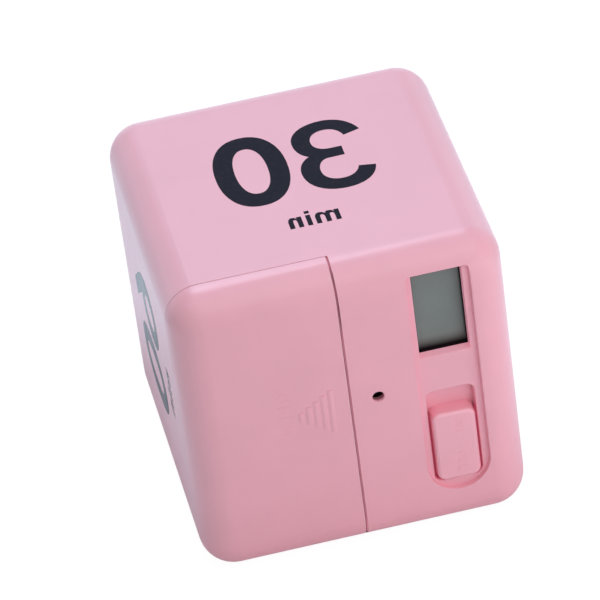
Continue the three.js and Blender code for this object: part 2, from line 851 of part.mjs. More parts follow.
// A contact plate centred on a cell's axis, lying flat, with its underside at the origin.
function contactPlate() {
  return block(
    [-contactWidth / 2, contactWidth / 2],
    [-contactFrontReach, contactBackReach],
    [0, contactThickness],
  );
}

// A plate with the tail that its lead is soldered to.
function tailedContact() {
  const tail = block(
    [-contactTailWidth / 2, contactTailWidth / 2],
    [0, trayBack + contactTailLength - cellY],
    [0, contactThickness],
  );
  return union(contactPlate(), tail);
}

// The plate that joins the two cells at the top, in front of the ridge between the troughs.
function bridgeContact() {
  const plates = [-1, 1].map((side) => contactPlate().translate([side * cellOffset, 0, 0]));
  const strapBack = recessedPanelFront - looseGap - cellY;
  const strap = block([-cellOffset, cellOffset], [-contactFrontReach, strapBack], [0, contactThickness]);
  return union(...plates, strap);
}

// A cone-shaped spring that stands on its wide end, as one tube along a helix.
function coneSpring() {
  const stepsPerTurn = 8;
  const sides = 5;
  const steps = springTurns * stepsPerTurn;
  const rise = springFittedLength - springWire - 2 * seatGap;
  const wireRadius = springWire / 2;
  const centres = [];
  const rings = Array.from({ length: steps + 1 }, (_, step) => {
    const share = step / steps;
    const angle = (2 * Math.PI * step) / stepsPerTurn;
    const coil = THREE.MathUtils.lerp(springBaseDiameter, springTipDiameter, share) / 2 - wireRadius;
    const outward = new THREE.Vector3(Math.cos(angle), Math.sin(angle), 0);
    const centre = outward.clone().multiplyScalar(coil).setZ(wireRadius + seatGap + rise * share);
    centres.push(centre);
    return Array.from({ length: sides }, (_, side) => {
      const turn = (2 * Math.PI * side) / sides;
      return centre
        .clone()
        .addScaledVector(outward, wireRadius * Math.cos(turn))
        .add(new THREE.Vector3(0, 0, wireRadius * Math.sin(turn)));
    });
  });
  let least = Infinity;
  for (let i = 0; i < centres.length; i++)
    for (let j = i + stepsPerTurn - 1; j < centres.length; j++)
      least = Math.min(least, centres[i].distanceTo(centres[j]) - springWire);
  console.log(`battery spring: least gap between its turns ${least.toFixed(2)} mm`);
  return skinned(rings);
}

// Two cells side by side the opposite way up, joined by the bridge at the top.
function batteryBay() {
  const leftX = trayX - cellOffset;
  const rightX = trayX + cellOffset;
  const floor = bayBottom + seatGap;
  const ceiling = bayTop - seatGap;
  const plateTop = floor + contactThickness;
  const bridgeBottom = ceiling - contactThickness;

  const cellLeft = named("cell_left", cell(), finishes.wrap);
  cellLeft.position.set(leftX, cellY, bridgeBottom - seatGap - cellLength);
  const cellRight = named("cell_right", cell(), finishes.wrap);
  cellRight.position.set(rightX, cellY, plateTop + seatGap + cellLength);
  cellRight.rotation.x = Math.PI;

  const negative = piece("contact_negative", tailedContact(), finishes.steel);
  negative.position.set(leftX, cellY, floor);
  const positive = piece("contact_positive", tailedContact(), finishes.steel);
  positive.position.set(rightX, cellY, floor);
  const bridge = piece("contact_bridge", bridgeContact(), finishes.steel);
  bridge.position.set(trayX, cellY, bridgeBottom);

  const lower = named("spring_lower", coneSpring(), finishes.steel);
  lower.position.set(leftX, cellY, plateTop);
  const upper = named("spring_upper", coneSpring(), finishes.steel);
  upper.position.set(rightX, cellY, bridgeBottom);
  upper.rotation.x = Math.PI;

  const tray = piece("battery_tray", batteryTray(), finishes.tray);
  return group(tray, cellLeft, cellRight, negative, positive, bridge, lower, upper);
}

// Display

const gasketWidth = windowWidth + 2 * gasketRim;
const gasketHeight = windowHeight + 2 * gasketRim;
const displaySides = [channelX - gasketWidth / 2, channelX + gasketWidth / 2];
const displaySpan = [windowZ - gasketHeight / 2, windowZ + gasketHeight / 2];

// A rectangular frame with the display's outline and a given wall.
function displayRing(wall, [y0, y1]) {
  const [x0, x1] = displaySides;
  const [z0, z1] = displaySpan;
  return cut(
    block([x0, x1], [y0, y1], [z0, z1]),
    block([x0 + wall, x1 - wall], [y0 - cutOverrun, y1 + cutOverrun], [z0 + wall, z1 - wall]),
  );
}

function display() {
  const inset = displayFrameWall + seatGap;
  const zebra = block(
    [displaySides[0] + inset, displaySides[0] + inset + zebraWidth],
    [displayBack + seatGap, boardFront - seatGap],
    [displaySpan[0] + displayFrameWall + zebraEndGap, displaySpan[1] - displayFrameWall - zebraEndGap],
  );
  const glass = block(displaySides, [displayFront, displayBack], displaySpan);
  const gasket = displayRing(gasketRim, [channelFloorBack + seatGap, displayFront - seatGap]);
  const frame = displayRing(displayFrameWall, [displayBack + seatGap, boardFront - seatGap]);
  return group(
    piece("display_gasket", gasket, finishes.black),
    piece("display_glass", glass, finishes.display),
    piece("display_frame", frame, finishes.white),
    piece("zebra_strip", zebra, finishes.rubber),
  );
}

// Slide key and the switch that it works

const leverZ = keyBottom + switchFromKeyFoot;
const switchFront = boardFront - seatGap - switchHeight;
const leverHalf = switchLeverWidth / 2;

function slideKey() {
  const face = caseFront + keySinkage;
  const sides = [channelX - keyWidth / 2, channelX + keyWidth / 2];
  const cap = frontPrism(
    frontRectangle(sides, [keyBottom, keyBottom + keyHeight], keyCornerRadius),
    [face + keyEdgeRadius, keyFlangeFront],
    {
      bevelEnabled: true,
      bevelThickness: keyEdgeRadius,
      bevelSize: keyEdgeRadius,
      bevelOffset: -keyEdgeRadius,
      bevelSegments: 3,
    },
  );
  const flange = block(
    [channelX - flangeWidth / 2, channelX + flangeWidth / 2],
    [keyFlangeFront, keyFlangeBack],
    [flangeBottom, flangeTop],
  );
  const forkGap = leverHalf + switchLeverGap;
  const fork = [
    [leverZ - forkGap - keyForkWall, leverZ - forkGap],
    [leverZ + forkGap, leverZ + forkGap + keyForkWall],
  ].map((span) =>
    block(
      [channelX - keyForkWidth / 2, channelX + keyForkWidth / 2],
      [keyFlangeBack - seatGap, switchFront - looseGap],
      span,
    ),
  );
  return union(cap, flange, ...fork);
}

function slideSwitch() {
  const halfSlot = leverHalf + looseGap;
  const slot = [leverZ - halfSlot, leverZ + keyTravel + halfSlot];
  const can = cut(
    block(
      [channelX - switchWidth / 2, channelX + switchWidth / 2],
      [switchFront, boardFront - seatGap],
      [slot[0] - switchEndWall, slot[1] + switchEndWall],
    ),
    block(
      [channelX - halfSlot, channelX + halfSlot],
      [switchFront - cutOverrun, switchFront + switchLeverRoot + looseGap],
      slot,
    ),
  );
  const lever = block(
    [channelX - leverHalf, channelX + leverHalf],
    [switchFront - switchLeverReach, switchFront + switchLeverRoot],
    [leverZ - leverHalf, leverZ + leverHalf],
  );
  return [piece("switch_body", can, finishes.steel), piece("switch_lever", lever, finishes.black)];
}

// Circuit board and what it carries

function circuitBoard() {
  const outline = new THREE.Shape();
  const outer = cornerRadius - caseWall - boardEdgeGap;
  const inner = boardInnerCornerRadius;
  outline.moveTo(boardLeft + inner, boardBottom);
  outline.lineTo(boardRight - outer, boardBottom);
  outline.absarc(boardRight - outer, boardBottom + outer, outer, -Math.PI / 2, 0, false);
  outline.lineTo(boardRight, boardTop - outer);
  outline.absarc(boardRight - outer, boardTop - outer, outer, 0, Math.PI / 2, false);
  outline.lineTo(boardLeft + inner, boardTop);
  outline.absarc(boardLeft + inner, boardTop - inner, inner, Math.PI / 2, Math.PI, false);
  outline.lineTo(boardLeft, boardBottom + inner);
  outline.absarc(boardLeft + inner, boardBottom + inner, inner, Math.PI, 1.5 * Math.PI, false);
  const holes = boardScrewPlaces.map(([x, z]) =>
    barAlongY(x, z, boardHoleDiameter, [boardFront - cutOverrun, boardBack + cutOverrun]),
  );
  return cut(frontPrism(outline, [boardFront, boardBack]), ...holes);
}

// A screw with its head at the origin's back side and its shank running to the front.
function screw() {
  const head = screwHeadDiameter / 2;
  const shank = screwShankDiameter / 2;
  const drive = screwDriveDiameter / 2;
  const profile = [
    [0, -screwLength],
    [shank / 2, -screwLength],
    [shank, shank - screwLength],
    [shank, 0],
    [head, 0],
    [head, screwHeadHeight / 2],
    [head - screwHeadHeight / 2, screwHeadHeight],
    [drive, screwHeadHeight],
    [0, screwHeadHeight - screwDriveDepth],
  ];
  return turned(profile, smallRoundSegments).rotateX(-Math.PI / 2);
}

function screwAt(name, x, y, z) {
  const made = named(name, screw(), finishes.steel);
  made.position.set(x, y + seatGap, z);
  return made;
}

// A round case with an open back, which the board closes, and a port in its front.
function buzzerCase() {
  const outer = buzzerDiameter / 2;
  const inner = outer - buzzerWall;
  const port = buzzerPortDiameter / 2;
  return turned([
    [port, buzzerHeight - buzzerWall],
    [inner, buzzerHeight - buzzerWall],
    [inner, 0],
    [outer, 0],
    [outer, buzzerHeight - buzzerWall / 2],
    [outer - buzzerWall / 2, buzzerHeight],
    [port, buzzerHeight],
    [port, buzzerHeight - buzzerWall],
  ]).rotateX(Math.PI / 2);
}

function buzzer() {
  const round = named("buzzer_case", buzzerCase(), finishes.black);
  round.position.set(soundHoleX, boardFront - seatGap, soundHoleHeight);
  const front = boardFront - seatGap - buzzerHeight;
  const seal = cut(
    barAlongY(soundHoleX, soundHoleHeight, buzzerDiameter - 2 * buzzerWall, [innerFront + seatGap, front - seatGap]),
    barAlongY(soundHoleX, soundHoleHeight, soundBoreDiameter, [innerFront - cutOverrun, front]),
  );
  return [round, piece("buzzer_seal", seal, finishes.rubber)];
}

// One tilt sensor along its own upright axis, with its middle at the origin and its ball at the lower end.
function tiltSensor(suffix) {
  const outer = tiltCanDiameter / 2;
  const bore = outer - tiltCanWall;
  const bottom = -tiltCanLength / 2;
  const top = bottom + tiltCanLength;
  const can = named(
    `tilt_can_${suffix}`,
    turned(
      [
        [0, bottom],
        [outer, bottom],
        [outer, top],
        [bore, top],
        [bore, bottom + tiltCanWall],
        [0, bottom + tiltCanWall],
      ],
      smallRoundSegments,
    ),
    finishes.steel,
  );
  const spigot = bore - looseGap;
  const base = named(
    `tilt_base_${suffix}`,
    turned(
      [
        [0, top - tiltBaseSpigot],
        [spigot, top - tiltBaseSpigot],
        [spigot, top + looseGap],
        [outer, top + looseGap],
        [outer, top + looseGap + tiltBaseThickness],
        [0, top + looseGap + tiltBaseThickness],
      ],
      smallRoundSegments,
    ),
    finishes.black,
  );
  const radius = tiltBallDiameter / 2;
  const ball = named(`tilt_ball_${suffix}`, new THREE.SphereGeometry(radius, 12, 8), finishes.blackened);
  ball.position.z = bottom + tiltCanWall + looseGap + radius;
  return group(can, base, ball);
}

function tiltSensors() {
  const y = boardBack + looseGap + tiltCanDiameter / 2;
  return [-1, 1].map((side) => {
    const sensor = tiltSensor(side < 0 ? "left" : "right");
    sensor.position.set(channelX + (side - 1 / 2) * (tiltSpacing / 2), y, tiltHeight);
    sensor.rotation.y = side * tiltAngle;
    return sensor;
  });
}

function chip() {
  const radius = chipDiameter / 2;
  const dome = turned([
    [0, 0],
    [radius, 0],
    [chipShoulderRadiusShare * radius, chipShoulderHeightShare * chipHeight],
    [chipCrownRadiusShare * radius, chipCrownHeightShare * chipHeight],
    [0, chipHeight],
  ]);
  const made = named("chip_blob", dome.rotateX(-Math.PI / 2), finishes.black);
  made.position.set(channelX - tiltSpacing / 4, boardBack + seatGap, tiltHeight + chipRiseHeight);
  return made;
}

function crystal() {
  const made = piece("crystal", barAlongZ(0, 0, crystalDiameter, [0, crystalLength], smallRoundSegments), finishes.steel);
  const y = boardBack + looseGap + crystalDiameter / 2;
  made.position.set(channelX - tiltSpacing / 4 + crystalBesideChip, y, tiltHeight + chipRiseHeight);
  return made;
}

// A lead from a contact's tail to its pad on the board.
function lead(name, side, material) {
  const tailX = trayX + side * cellOffset;
  const tailZ = bayBottom + seatGap + contactThickness / 2;
  const tailEnd = trayBack + contactTailLength + looseGap;
  const padX = boardLeft + wirePadFromSide;
  const padZ = wirePadHeight - (side * wirePadSpacing) / 2;
  const bow = Math.max(tailEnd, boardBack) + wireSlack;
  const route = new THREE.CatmullRomCurve3(
    [
      [tailX, tailEnd, tailZ],
      [tailX, tailEnd + wireDiameter, tailZ],
      [tailX + wireSlack, bow, tailZ + wireSlack / 2],
      [(tailX + padX) / 2, bow, (tailZ + padZ) / 2],
      [padX - wireSlack / 2, bow, padZ - wireSlack / 2],
      [padX, boardBack + 2 * wireDiameter, padZ],
      [padX, boardBack + looseGap, padZ],
    ].map((point) => new THREE.Vector3(...point)),
  );
  const section = new THREE.Shape().absarc(0, 0, wireDiameter / 2, 0, 2 * Math.PI, false);
  const tube = new THREE.ExtrudeGeometry(section, { steps: 20, extrudePath: route, curveSegments: wireSegments / 2 });
  return piece(name, solid(tube), material);
}

// The whole timer

const timer = group(
  piece("main_housing", mainHousing(), finishes.case),
  piece("battery_door", batteryDoor(), finishes.door),
  piece("back_cover", backCover(), finishes.back),
  batteryBay(),
  display(),
  piece("slide_key", slideKey(), finishes.key),
  ...slideSwitch(),
  piece("circuit_board", circuitBoard(), finishes.board),
  ...boardScrewPlaces.map(([x, z], index) => screwAt(`board_screw_${index + 1}`, x, boardBack, z)),
  screwAt("tray_screw_upper", trayX, trayBack, earZ),
  screwAt("tray_screw_lower", trayX, trayBack, caseTop - earZ),
  ...buzzer(),
  ...tiltSensors(),
  chip(),
  crystal(),
  lead("lead_negative", -1, finishes.black),
  lead("lead_positive", 1, finishes.red),
);
timer.name = "flip_timer";

export default timer;
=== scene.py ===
"""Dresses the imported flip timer: moulded shells, printed times, display, battery bay, board and studio."""

import json
import math

import bmesh
import bpy
from mathutils import Matrix, Vector
from mathutils.geometry import tessellate_polygon


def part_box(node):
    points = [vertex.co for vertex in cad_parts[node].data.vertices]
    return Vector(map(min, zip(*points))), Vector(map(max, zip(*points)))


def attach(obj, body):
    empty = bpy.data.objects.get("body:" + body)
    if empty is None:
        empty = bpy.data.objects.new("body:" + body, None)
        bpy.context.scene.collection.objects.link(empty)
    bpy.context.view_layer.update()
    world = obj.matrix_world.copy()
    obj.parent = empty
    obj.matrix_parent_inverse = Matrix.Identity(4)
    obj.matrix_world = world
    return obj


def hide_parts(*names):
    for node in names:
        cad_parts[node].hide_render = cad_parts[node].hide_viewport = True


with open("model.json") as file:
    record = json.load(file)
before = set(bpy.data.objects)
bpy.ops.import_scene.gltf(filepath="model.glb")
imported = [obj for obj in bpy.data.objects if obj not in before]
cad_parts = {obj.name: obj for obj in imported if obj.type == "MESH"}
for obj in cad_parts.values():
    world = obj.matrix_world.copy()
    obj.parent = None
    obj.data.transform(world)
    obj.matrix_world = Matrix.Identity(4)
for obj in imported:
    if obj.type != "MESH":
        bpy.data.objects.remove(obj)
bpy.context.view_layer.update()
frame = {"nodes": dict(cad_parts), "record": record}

bl_info = {
    "name": "Flip Timer",
    "version": (1, 0, 0),
    "blender": (4, 5, 0),
    "location": "3D View > Sidebar > Flip Timer",
    "description": "Dresses a cube flip timer with its finishes, print and studio",
    "category": "Object",
}

MM = 0.001
TAU = 2 * math.pi

X, Y, Z = Vector((1, 0, 0)), Vector((0, 1, 0)), Vector((0, 0, 1))


# Settings that a user would change


class FlipTimerSizes(bpy.types.PropertyGroup):
    """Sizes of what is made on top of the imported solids."""

    edge_radius: bpy.props.FloatProperty(
        name="Edge radius", description="Rounding of the small pieces' edges", default=0.1 * MM, unit="LENGTH"
    )
    print_thickness: bpy.props.FloatProperty(
        name="Print thickness", description="How far the ink stands out", default=0.02 * MM, unit="LENGTH"
    )
    digit_height: bpy.props.FloatProperty(
        name="Digit height", description="Height of the large digits", default=24.75 * MM, unit="LENGTH"
    )
    digit_gap: bpy.props.FloatProperty(
        name="Digit gap", description="Space between two large digits", default=1.9 * MM, unit="LENGTH"
    )
    letter_height: bpy.props.FloatProperty(
        name="Letter height", description="Height of the small letters", default=3.7 * MM, unit="LENGTH"
    )
    relief_height: bpy.props.FloatProperty(
        name="Relief height", description="How far moulded words stand out", default=0.06 * MM, unit="LENGTH"
    )


class FlipTimerColours(bpy.types.PropertyGroup):
    """Colours of the finishes, as scene-linear values."""

    pink: bpy.props.FloatVectorProperty(
        name="Pink plastic", description="Case, door and cover", default=(0.9, 0.394, 0.484), subtype="COLOR"
    )
    key_pink: bpy.props.FloatVectorProperty(
        name="Key plastic", description="The slide key", default=(0.93, 0.41, 0.5), subtype="COLOR"
    )
    ink: bpy.props.FloatVectorProperty(
        name="Ink", description="The printed times", default=(0.01, 0.007, 0.017), subtype="COLOR"
    )
    display: bpy.props.FloatVectorProperty(
        name="Display", description="The grey-green reflector", default=(0.2, 0.223, 0.212), subtype="COLOR"
    )
    floor: bpy.props.FloatVectorProperty(
        name="Floor", description="The plain floor", default=(0.9, 0.9, 0.9), subtype="COLOR"
    )


def sizes():
    return bpy.context.scene.flip_timer_sizes


def colours():
    return bpy.context.scene.flip_timer_colours


# Places that the pieces share

HOUSING_LOW, HOUSING_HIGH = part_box("main_housing")
COVER_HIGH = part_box("back_cover")[1]
DISPLAY_LOW, DISPLAY_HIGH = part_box("display_glass")
KEY_LOW, KEY_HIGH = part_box("slide_key")
BOARD_LOW, BOARD_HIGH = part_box("circuit_board")
FRONT = HOUSING_LOW.y
MIDDLE = Vector((0, (FRONT + COVER_HIGH.y) / 2, (HOUSING_LOW.z + HOUSING_HIGH.z) / 2))
BODY_OF = {node: body for body, nodes in frame["record"]["behaviour"]["bodies"].items() for node in nodes}


# Mesh making

MERGE_DISTANCE = 0.002 * MM
CURVE_STEPS = 10
# The angles, in degrees, past which an edge is sharp
PRINT_ANGLE, SMALL_ANGLE, SHELL_ANGLE, SCREW_ANGLE, BALL_ANGLE, ROUND_ANGLE = 30, 40, 48, 50, 60, 70


def add_object(name, mesh, *materials):
    """Links an object for a finished mesh, with its materials in order."""
    made = bpy.data.objects.new(name, mesh)
    bpy.context.scene.collection.objects.link(made)
    for material in materials:
        mesh.materials.append(material)
    return made


def finished(name, bm, sharp_angle, *materials):
    """Makes an object of a bmesh, smooth across every edge flatter than the angle."""
    for face in bm.faces:
        face.smooth = True
    for edge in bm.edges:
        edge.smooth = len(edge.link_faces) == 2 and edge.calc_face_angle(0) < math.radians(sharp_angle)
    mesh = bpy.data.meshes.new(name)
    bm.to_mesh(mesh)
    bm.free()
    made = add_object(name, mesh, *materials)
    made.modifiers.new("even_normals", "WEIGHTED_NORMAL").keep_sharp = True
    return made


def merged_node(node):
    """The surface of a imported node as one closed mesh."""
    bm = bmesh.new()
    bm.from_mesh(frame["nodes"][node].data)
    bmesh.ops.remove_doubles(bm, verts=bm.verts, dist=MERGE_DISTANCE)
    return bm


def soften(bm, radius):
    """Rounds the sharp edges of a simple form."""
    sharp = math.radians(SMALL_ANGLE)
    edges = [e for e in bm.edges if len(e.link_faces) == 2 and e.calc_face_angle(0) > sharp]
    shape = {"segments": 2, "profile": 0.5, "affect": "EDGES", "clamp_overlap": True}
    bmesh.ops.bevel(bm, geom=edges, offset=radius, **shape)


def seat(piece, body, slot, *nodes):
    """Makes a piece ride on its body and hides the nodes that it stands for. Its slot is not used."""
    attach(piece, body)
    if nodes:
        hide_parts(*nodes)
    return piece


def dressed(node, slot, material, sharp_angle=SMALL_ANGLE, edge_radius=0.0, name=None):
    """A smooth-shaded piece with the form of one node, which it replaces."""
    bm = merged_node(node)
    if edge_radius:
        soften(bm, edge_radius)
    return seat(finished(name or node + "_form", bm, sharp_angle, material), BODY_OF[node], slot, node)


def middle_of(node):
    low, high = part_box(node)
    return (low + high) / 2


def ring_faces(bm, lower, upper, material_index=0):
    """Joins two closed rings of vertices with quads."""
    count = len(lower)
    for i in range(count):
        j = (i + 1) % count
        bm.faces.new((lower[i], lower[j], upper[j], upper[i])).material_index = material_index


def fan_faces(bm, tip, rim, material_index=0):
    """Joins a closed ring of vertices to one point."""
    for k, vertex in enumerate(rim):
        bm.faces.new((tip, vertex, rim[(k + 1) % len(rim)])).material_index = material_index


def bar_form(bm, sections):
    """Joins the sections of a bar in order and closes both ends."""
    for lower, upper in zip(sections, sections[1:]):
        ring_faces(bm, lower, upper)
    bm.faces.new(sections[0])
    bm.faces.new(sections[-1])
    bmesh.ops.recalc_face_normals(bm, faces=bm.faces)


def spokes_of(count):
    """The (cosine, sine) of every turn round a circle."""
    return [(math.cos(TAU * k / count), math.sin(TAU * k / count)) for k in range(count)]


def turned(profile, segments, axis_point, along, side, indices):
    """A closed lathe form. The profile's (radius, height) pairs start and end on the axis."""
    bm = bmesh.new()
    other = along.cross(side)
    spokes = [side * c + other * s for c, s in spokes_of(segments)]
    rings = []
    for radius, height in profile:
        middle = axis_point + along * height
        rings.append([bm.verts.new(middle + spoke * radius) for spoke in (spokes if radius else spokes[:1])])
    for index, lower, upper in zip(indices, rings, rings[1:]):
        if len(lower) == len(upper):
            ring_faces(bm, lower, upper, index)
        else:
            fan_faces(bm, *((lower[0], upper) if len(lower) == 1 else (upper[0], lower)), index)
    bmesh.ops.recalc_face_normals(bm, faces=bm.faces)
    return bm


# Outlines of digits and letters

# A pair is a point, in shares of the width and height. Six numbers are a curve: its two handles and its end.
THREE_SHARES = [
    (0.023, 0.778), (0.099, 0.915, 0.271, 1.0, 0.5, 1.0), (0.787, 1.0, 0.982, 0.892, 0.982, 0.751),
    (0.982, 0.65, 0.931, 0.573, 0.821, 0.529), (0.936, 0.489, 1.0, 0.408, 1.0, 0.314),
    (1.0, 0.125, 0.787, 0.0, 0.477, 0.0), (0.213, 0.0, 0.03, 0.098, 0.0, 0.237), (0.225, 0.266),
    (0.264, 0.188, 0.351, 0.143, 0.482, 0.143), (0.638, 0.143, 0.739, 0.206, 0.739, 0.307),
    (0.739, 0.381, 0.683, 0.457, 0.576, 0.46), (0.344, 0.462), (0.344, 0.59), (0.5, 0.59),
    (0.642, 0.59, 0.729, 0.641, 0.729, 0.724), (0.729, 0.8075, 0.638, 0.863, 0.505, 0.863),
    (0.374, 0.863, 0.294, 0.816, 0.259, 0.735),
]
SIX_SHARES = [
    (0.95, 1.0), (0.63, 1.0), (0.42, 0.815, 0.0, 0.6, 0.0, 0.335), (0.0, 0.13, 0.2, 0.0, 0.505, 0.0),
    (0.8, 0.0, 1.0, 0.14, 1.0, 0.325), (1.0, 0.51, 0.83, 0.64, 0.6, 0.64),
    (0.56, 0.64, 0.53, 0.637, 0.5, 0.63),
]
FIVE_SHARES = [
    (0.92, 0.985), (0.17, 0.985), (0.07, 0.455), (0.29, 0.43), (0.33, 0.485, 0.4, 0.515, 0.49, 0.515),
    (0.64, 0.515, 0.735, 0.44, 0.735, 0.325), (0.735, 0.21, 0.63, 0.145, 0.485, 0.145),
    (0.36, 0.145, 0.275, 0.19, 0.255, 0.285), (0.0, 0.255), (0.03, 0.1, 0.21, 0.0, 0.485, 0.0),
    (0.79, 0.0, 1.0, 0.13, 1.0, 0.335), (1.0, 0.53, 0.82, 0.655, 0.575, 0.655),
    (0.48, 0.655, 0.39, 0.63, 0.325, 0.59), (0.37, 0.82), (0.92, 0.82),
]
ONE_SHARES = [
    (0.7, 0.0), (0.7, 1.0), (0.475, 1.0), (0.42, 0.87, 0.29, 0.8, 0.1, 0.785), (0.1, 0.62), (0.425, 0.62),
    (0.425, 0.0),
]
E_SHARES = [
    (0.0, 0.0), (1.0, 0.0), (1.0, 0.15), (0.25, 0.15), (0.25, 0.43), (0.88, 0.43), (0.88, 0.58),
    (0.25, 0.58), (0.25, 0.85), (1.0, 0.85), (1.0, 1.0), (0.0, 1.0),
]
F_SHARES = [(0.0, 0.0), (0.25, 0.0), (0.25, 0.43), *E_SHARES[5:]]
N_SHARES = [
    (0.0, 0.0), (0.2, 0.0), (0.2, 0.68), (0.76, 0.0), (1.0, 0.0), (1.0, 1.0), (0.8, 1.0), (0.8, 0.32),
    (0.24, 1.0), (0.0, 1.0),
]
P_SHARES = [
    (0.0, 0.0), (0.24, 0.0), (0.24, 0.36), (0.52, 0.36), (0.82, 0.36, 1.0, 0.48, 1.0, 0.68),
    (1.0, 0.88, 0.82, 1.0, 0.52, 1.0), (0.0, 1.0),
]
P_EYE_SHARES = [
    (0.24, 0.52), (0.5, 0.52), (0.68, 0.52, 0.75, 0.58, 0.75, 0.68), (0.75, 0.79, 0.68, 0.85, 0.5, 0.85),
    (0.24, 0.85),
]
OVAL_STEPS = 72
ZERO_SQUARENESS = 2.25


def oval(middle, half, squareness):
    """A closed oval in shares. A squareness of 2 is an ellipse, and more is fuller."""
    power = 2 / squareness
    points = []
    for spoke in spokes_of(OVAL_STEPS):
        across, up = (math.copysign(abs(part) ** power, part) for part in spoke)
        points.append((middle[0] + half[0] * across, middle[1] + half[1] * up))
    return points


def arch_letter(arches, stem):
    """The outline of n or m in shares: upright stems of one width that round arches join."""
    pitch = (1 - stem) / arches
    top, drop, inner_drop, shoulder = 0.98, 0.18, 0.24, 0.42
    outline = [(0.0, 0.0), (0.0, top), (stem, top), (stem, 1 - drop)]
    for arch in range(arches):
        left = arch * pitch + stem
        crest = left + 0.5 * pitch
        last = arch == arches - 1
        right = (1.0, 1 - shoulder) if last else (left + 0.86 * pitch, 1 - drop)
        outline.append((left + 0.12 * pitch, 0.96, left + 0.26 * pitch, 1.0, crest, 1.0))
        outline.append((crest + 0.34 * pitch, 1.0, right[0], 1 - shoulder / 2 if last else 0.95, *right))
    for arch in reversed(range(arches)):
        left, right = arch * pitch + stem, (arch + 1) * pitch
        middle = (left + right) / 2
        outline += [(right + stem, 0.0), (right, 0.0), (right, 1 - shoulder)]
        outline.append((right, 1 - inner_drop, (middle + right) / 2, 1 - inner_drop, middle, 1 - inner_drop))
        outline.append((left, 1 - inner_drop, left, 1 - 1.2 * shoulder, left, 1 - 1.2 * shoulder))
        outline.append((left, 0.0))
    return outline


def rectangle(x0, x1, y0, y1):
    return [(x0, y0), (x1, y0), (x1, y1), (x0, y1)]


# Each glyph's width, in shares of its height, and its outlines.
DIGIT_WIDTH_SHARE = 0.587
GLYPHS = {
    "0": (
        DIGIT_WIDTH_SHARE,
        [oval((0.5, 0.5), (0.5, 0.5), ZERO_SQUARENESS), oval((0.5, 0.503), (0.227, 0.326), ZERO_SQUARENESS)],
    ),
    "1": (DIGIT_WIDTH_SHARE, [ONE_SHARES]),
    "3": (DIGIT_WIDTH_SHARE, [THREE_SHARES]),
    "5": (DIGIT_WIDTH_SHARE, [FIVE_SHARES]),
    "6": (DIGIT_WIDTH_SHARE, [SIX_SHARES, oval((0.5, 0.325), (0.225, 0.18), 2.1)]),
    "m": (1.31, [arch_letter(2, 0.205)]),
    "n": (0.74, [arch_letter(1, 0.36)]),
    "i": (0.26, [rectangle(0.0, 1.0, 0.0, 0.98), rectangle(0.0, 1.0, 1.12, 1.36)]),
    "O": (0.78, [oval((0.5, 0.5), (0.5, 0.5), 2.3), oval((0.5, 0.5), (0.29, 0.34), 2.3)]),
    "P": (0.62, [P_SHARES, P_EYE_SHARES]),
    "E": (0.58, [E_SHARES]),
    "F": (0.56, [F_SHARES]),
    "N": (0.7, [N_SHARES]),
}


def traced(outline):
    """The points of an outline, with its curves followed in steps."""
    points = [outline[0]]
    for step in outline[1:]:
        if len(step) == 2:
            points.append(step)
            continue
        start, (x1, y1, x2, y2, x3, y3) = points[-1], step
        for k in range(1, CURVE_STEPS + 1):
            t = k / CURVE_STEPS
            a, b, c, d = (1 - t) ** 3, 3 * t * (1 - t) ** 2, 3 * t * t * (1 - t), t**3
            points.append((a * start[0] + b * x1 + c * x2 + d * x3, a * start[1] + b * y1 + c * y2 + d * y3))
    return points


def text_loops(text, height, gap, baseline=0.0):
    """The outlines of a line of text, centred on its reading direction."""
    widths = [GLYPHS[letter][0] * height for letter in text]
    reach = -(sum(widths) + gap * (len(text) - 1)) / 2
    placed = []
    for letter, width in zip(text, widths):
        loops = [traced(outline) for outline in GLYPHS[letter][1]]
        placed.append([[(reach + u * width, baseline + v * height) for u, v in loop] for loop in loops])
        reach += width + gap
    return placed


def add_plate(bm, loops, low, high, place):
    """Adds a closed plate with the outline of the loops, from one height to another, set by the matrix."""
    flat = [(x, y) for loop in loops for x, y in loop]
    bottom = [bm.verts.new(place @ Vector((x, y, low))) for x, y in flat]
    top = [bm.verts.new(place @ Vector((x, y, high))) for x, y in flat]
    for a, b, c in tessellate_polygon([[Vector((x, y, 0)) for x, y in loop] for loop in loops]):
        bm.faces.new((top[a], top[b], top[c]))
        bm.faces.new((bottom[c], bottom[b], bottom[a]))
    start = 0
    for loop in loops:
        count = len(loop)
        ring_faces(bm, bottom[start : start + count], top[start : start + count])
        start += count


def face_frame(origin, reading, up, out):
    """The matrix that lays a drawing on a face. The reading direction may be the mirrored one."""
    columns = Matrix((reading, up, out)).transposed().to_4x4()
    return Matrix.Translation(origin) @ columns


def islands_of(loops):
    """Splits a glyph whose second outline stands above the first, as a dot does, into plates of their own."""
    apart = len(loops) > 1 and min(y for _, y in loops[1]) > max(y for _, y in loops[0])
    return [[loop] for loop in loops] if apart else [loops]


def lettered(name, lines, place, low, high, material):
    """One piece that holds every glyph of some lines of text."""
    bm = bmesh.new()
    for line in lines:
        for glyph in line:
            for island in islands_of(glyph):
                add_plate(bm, island, low, high, place)
    bmesh.ops.recalc_face_normals(bm, faces=bm.faces)
    return finished(name, bm, PRINT_ANGLE, material)


# Shader building

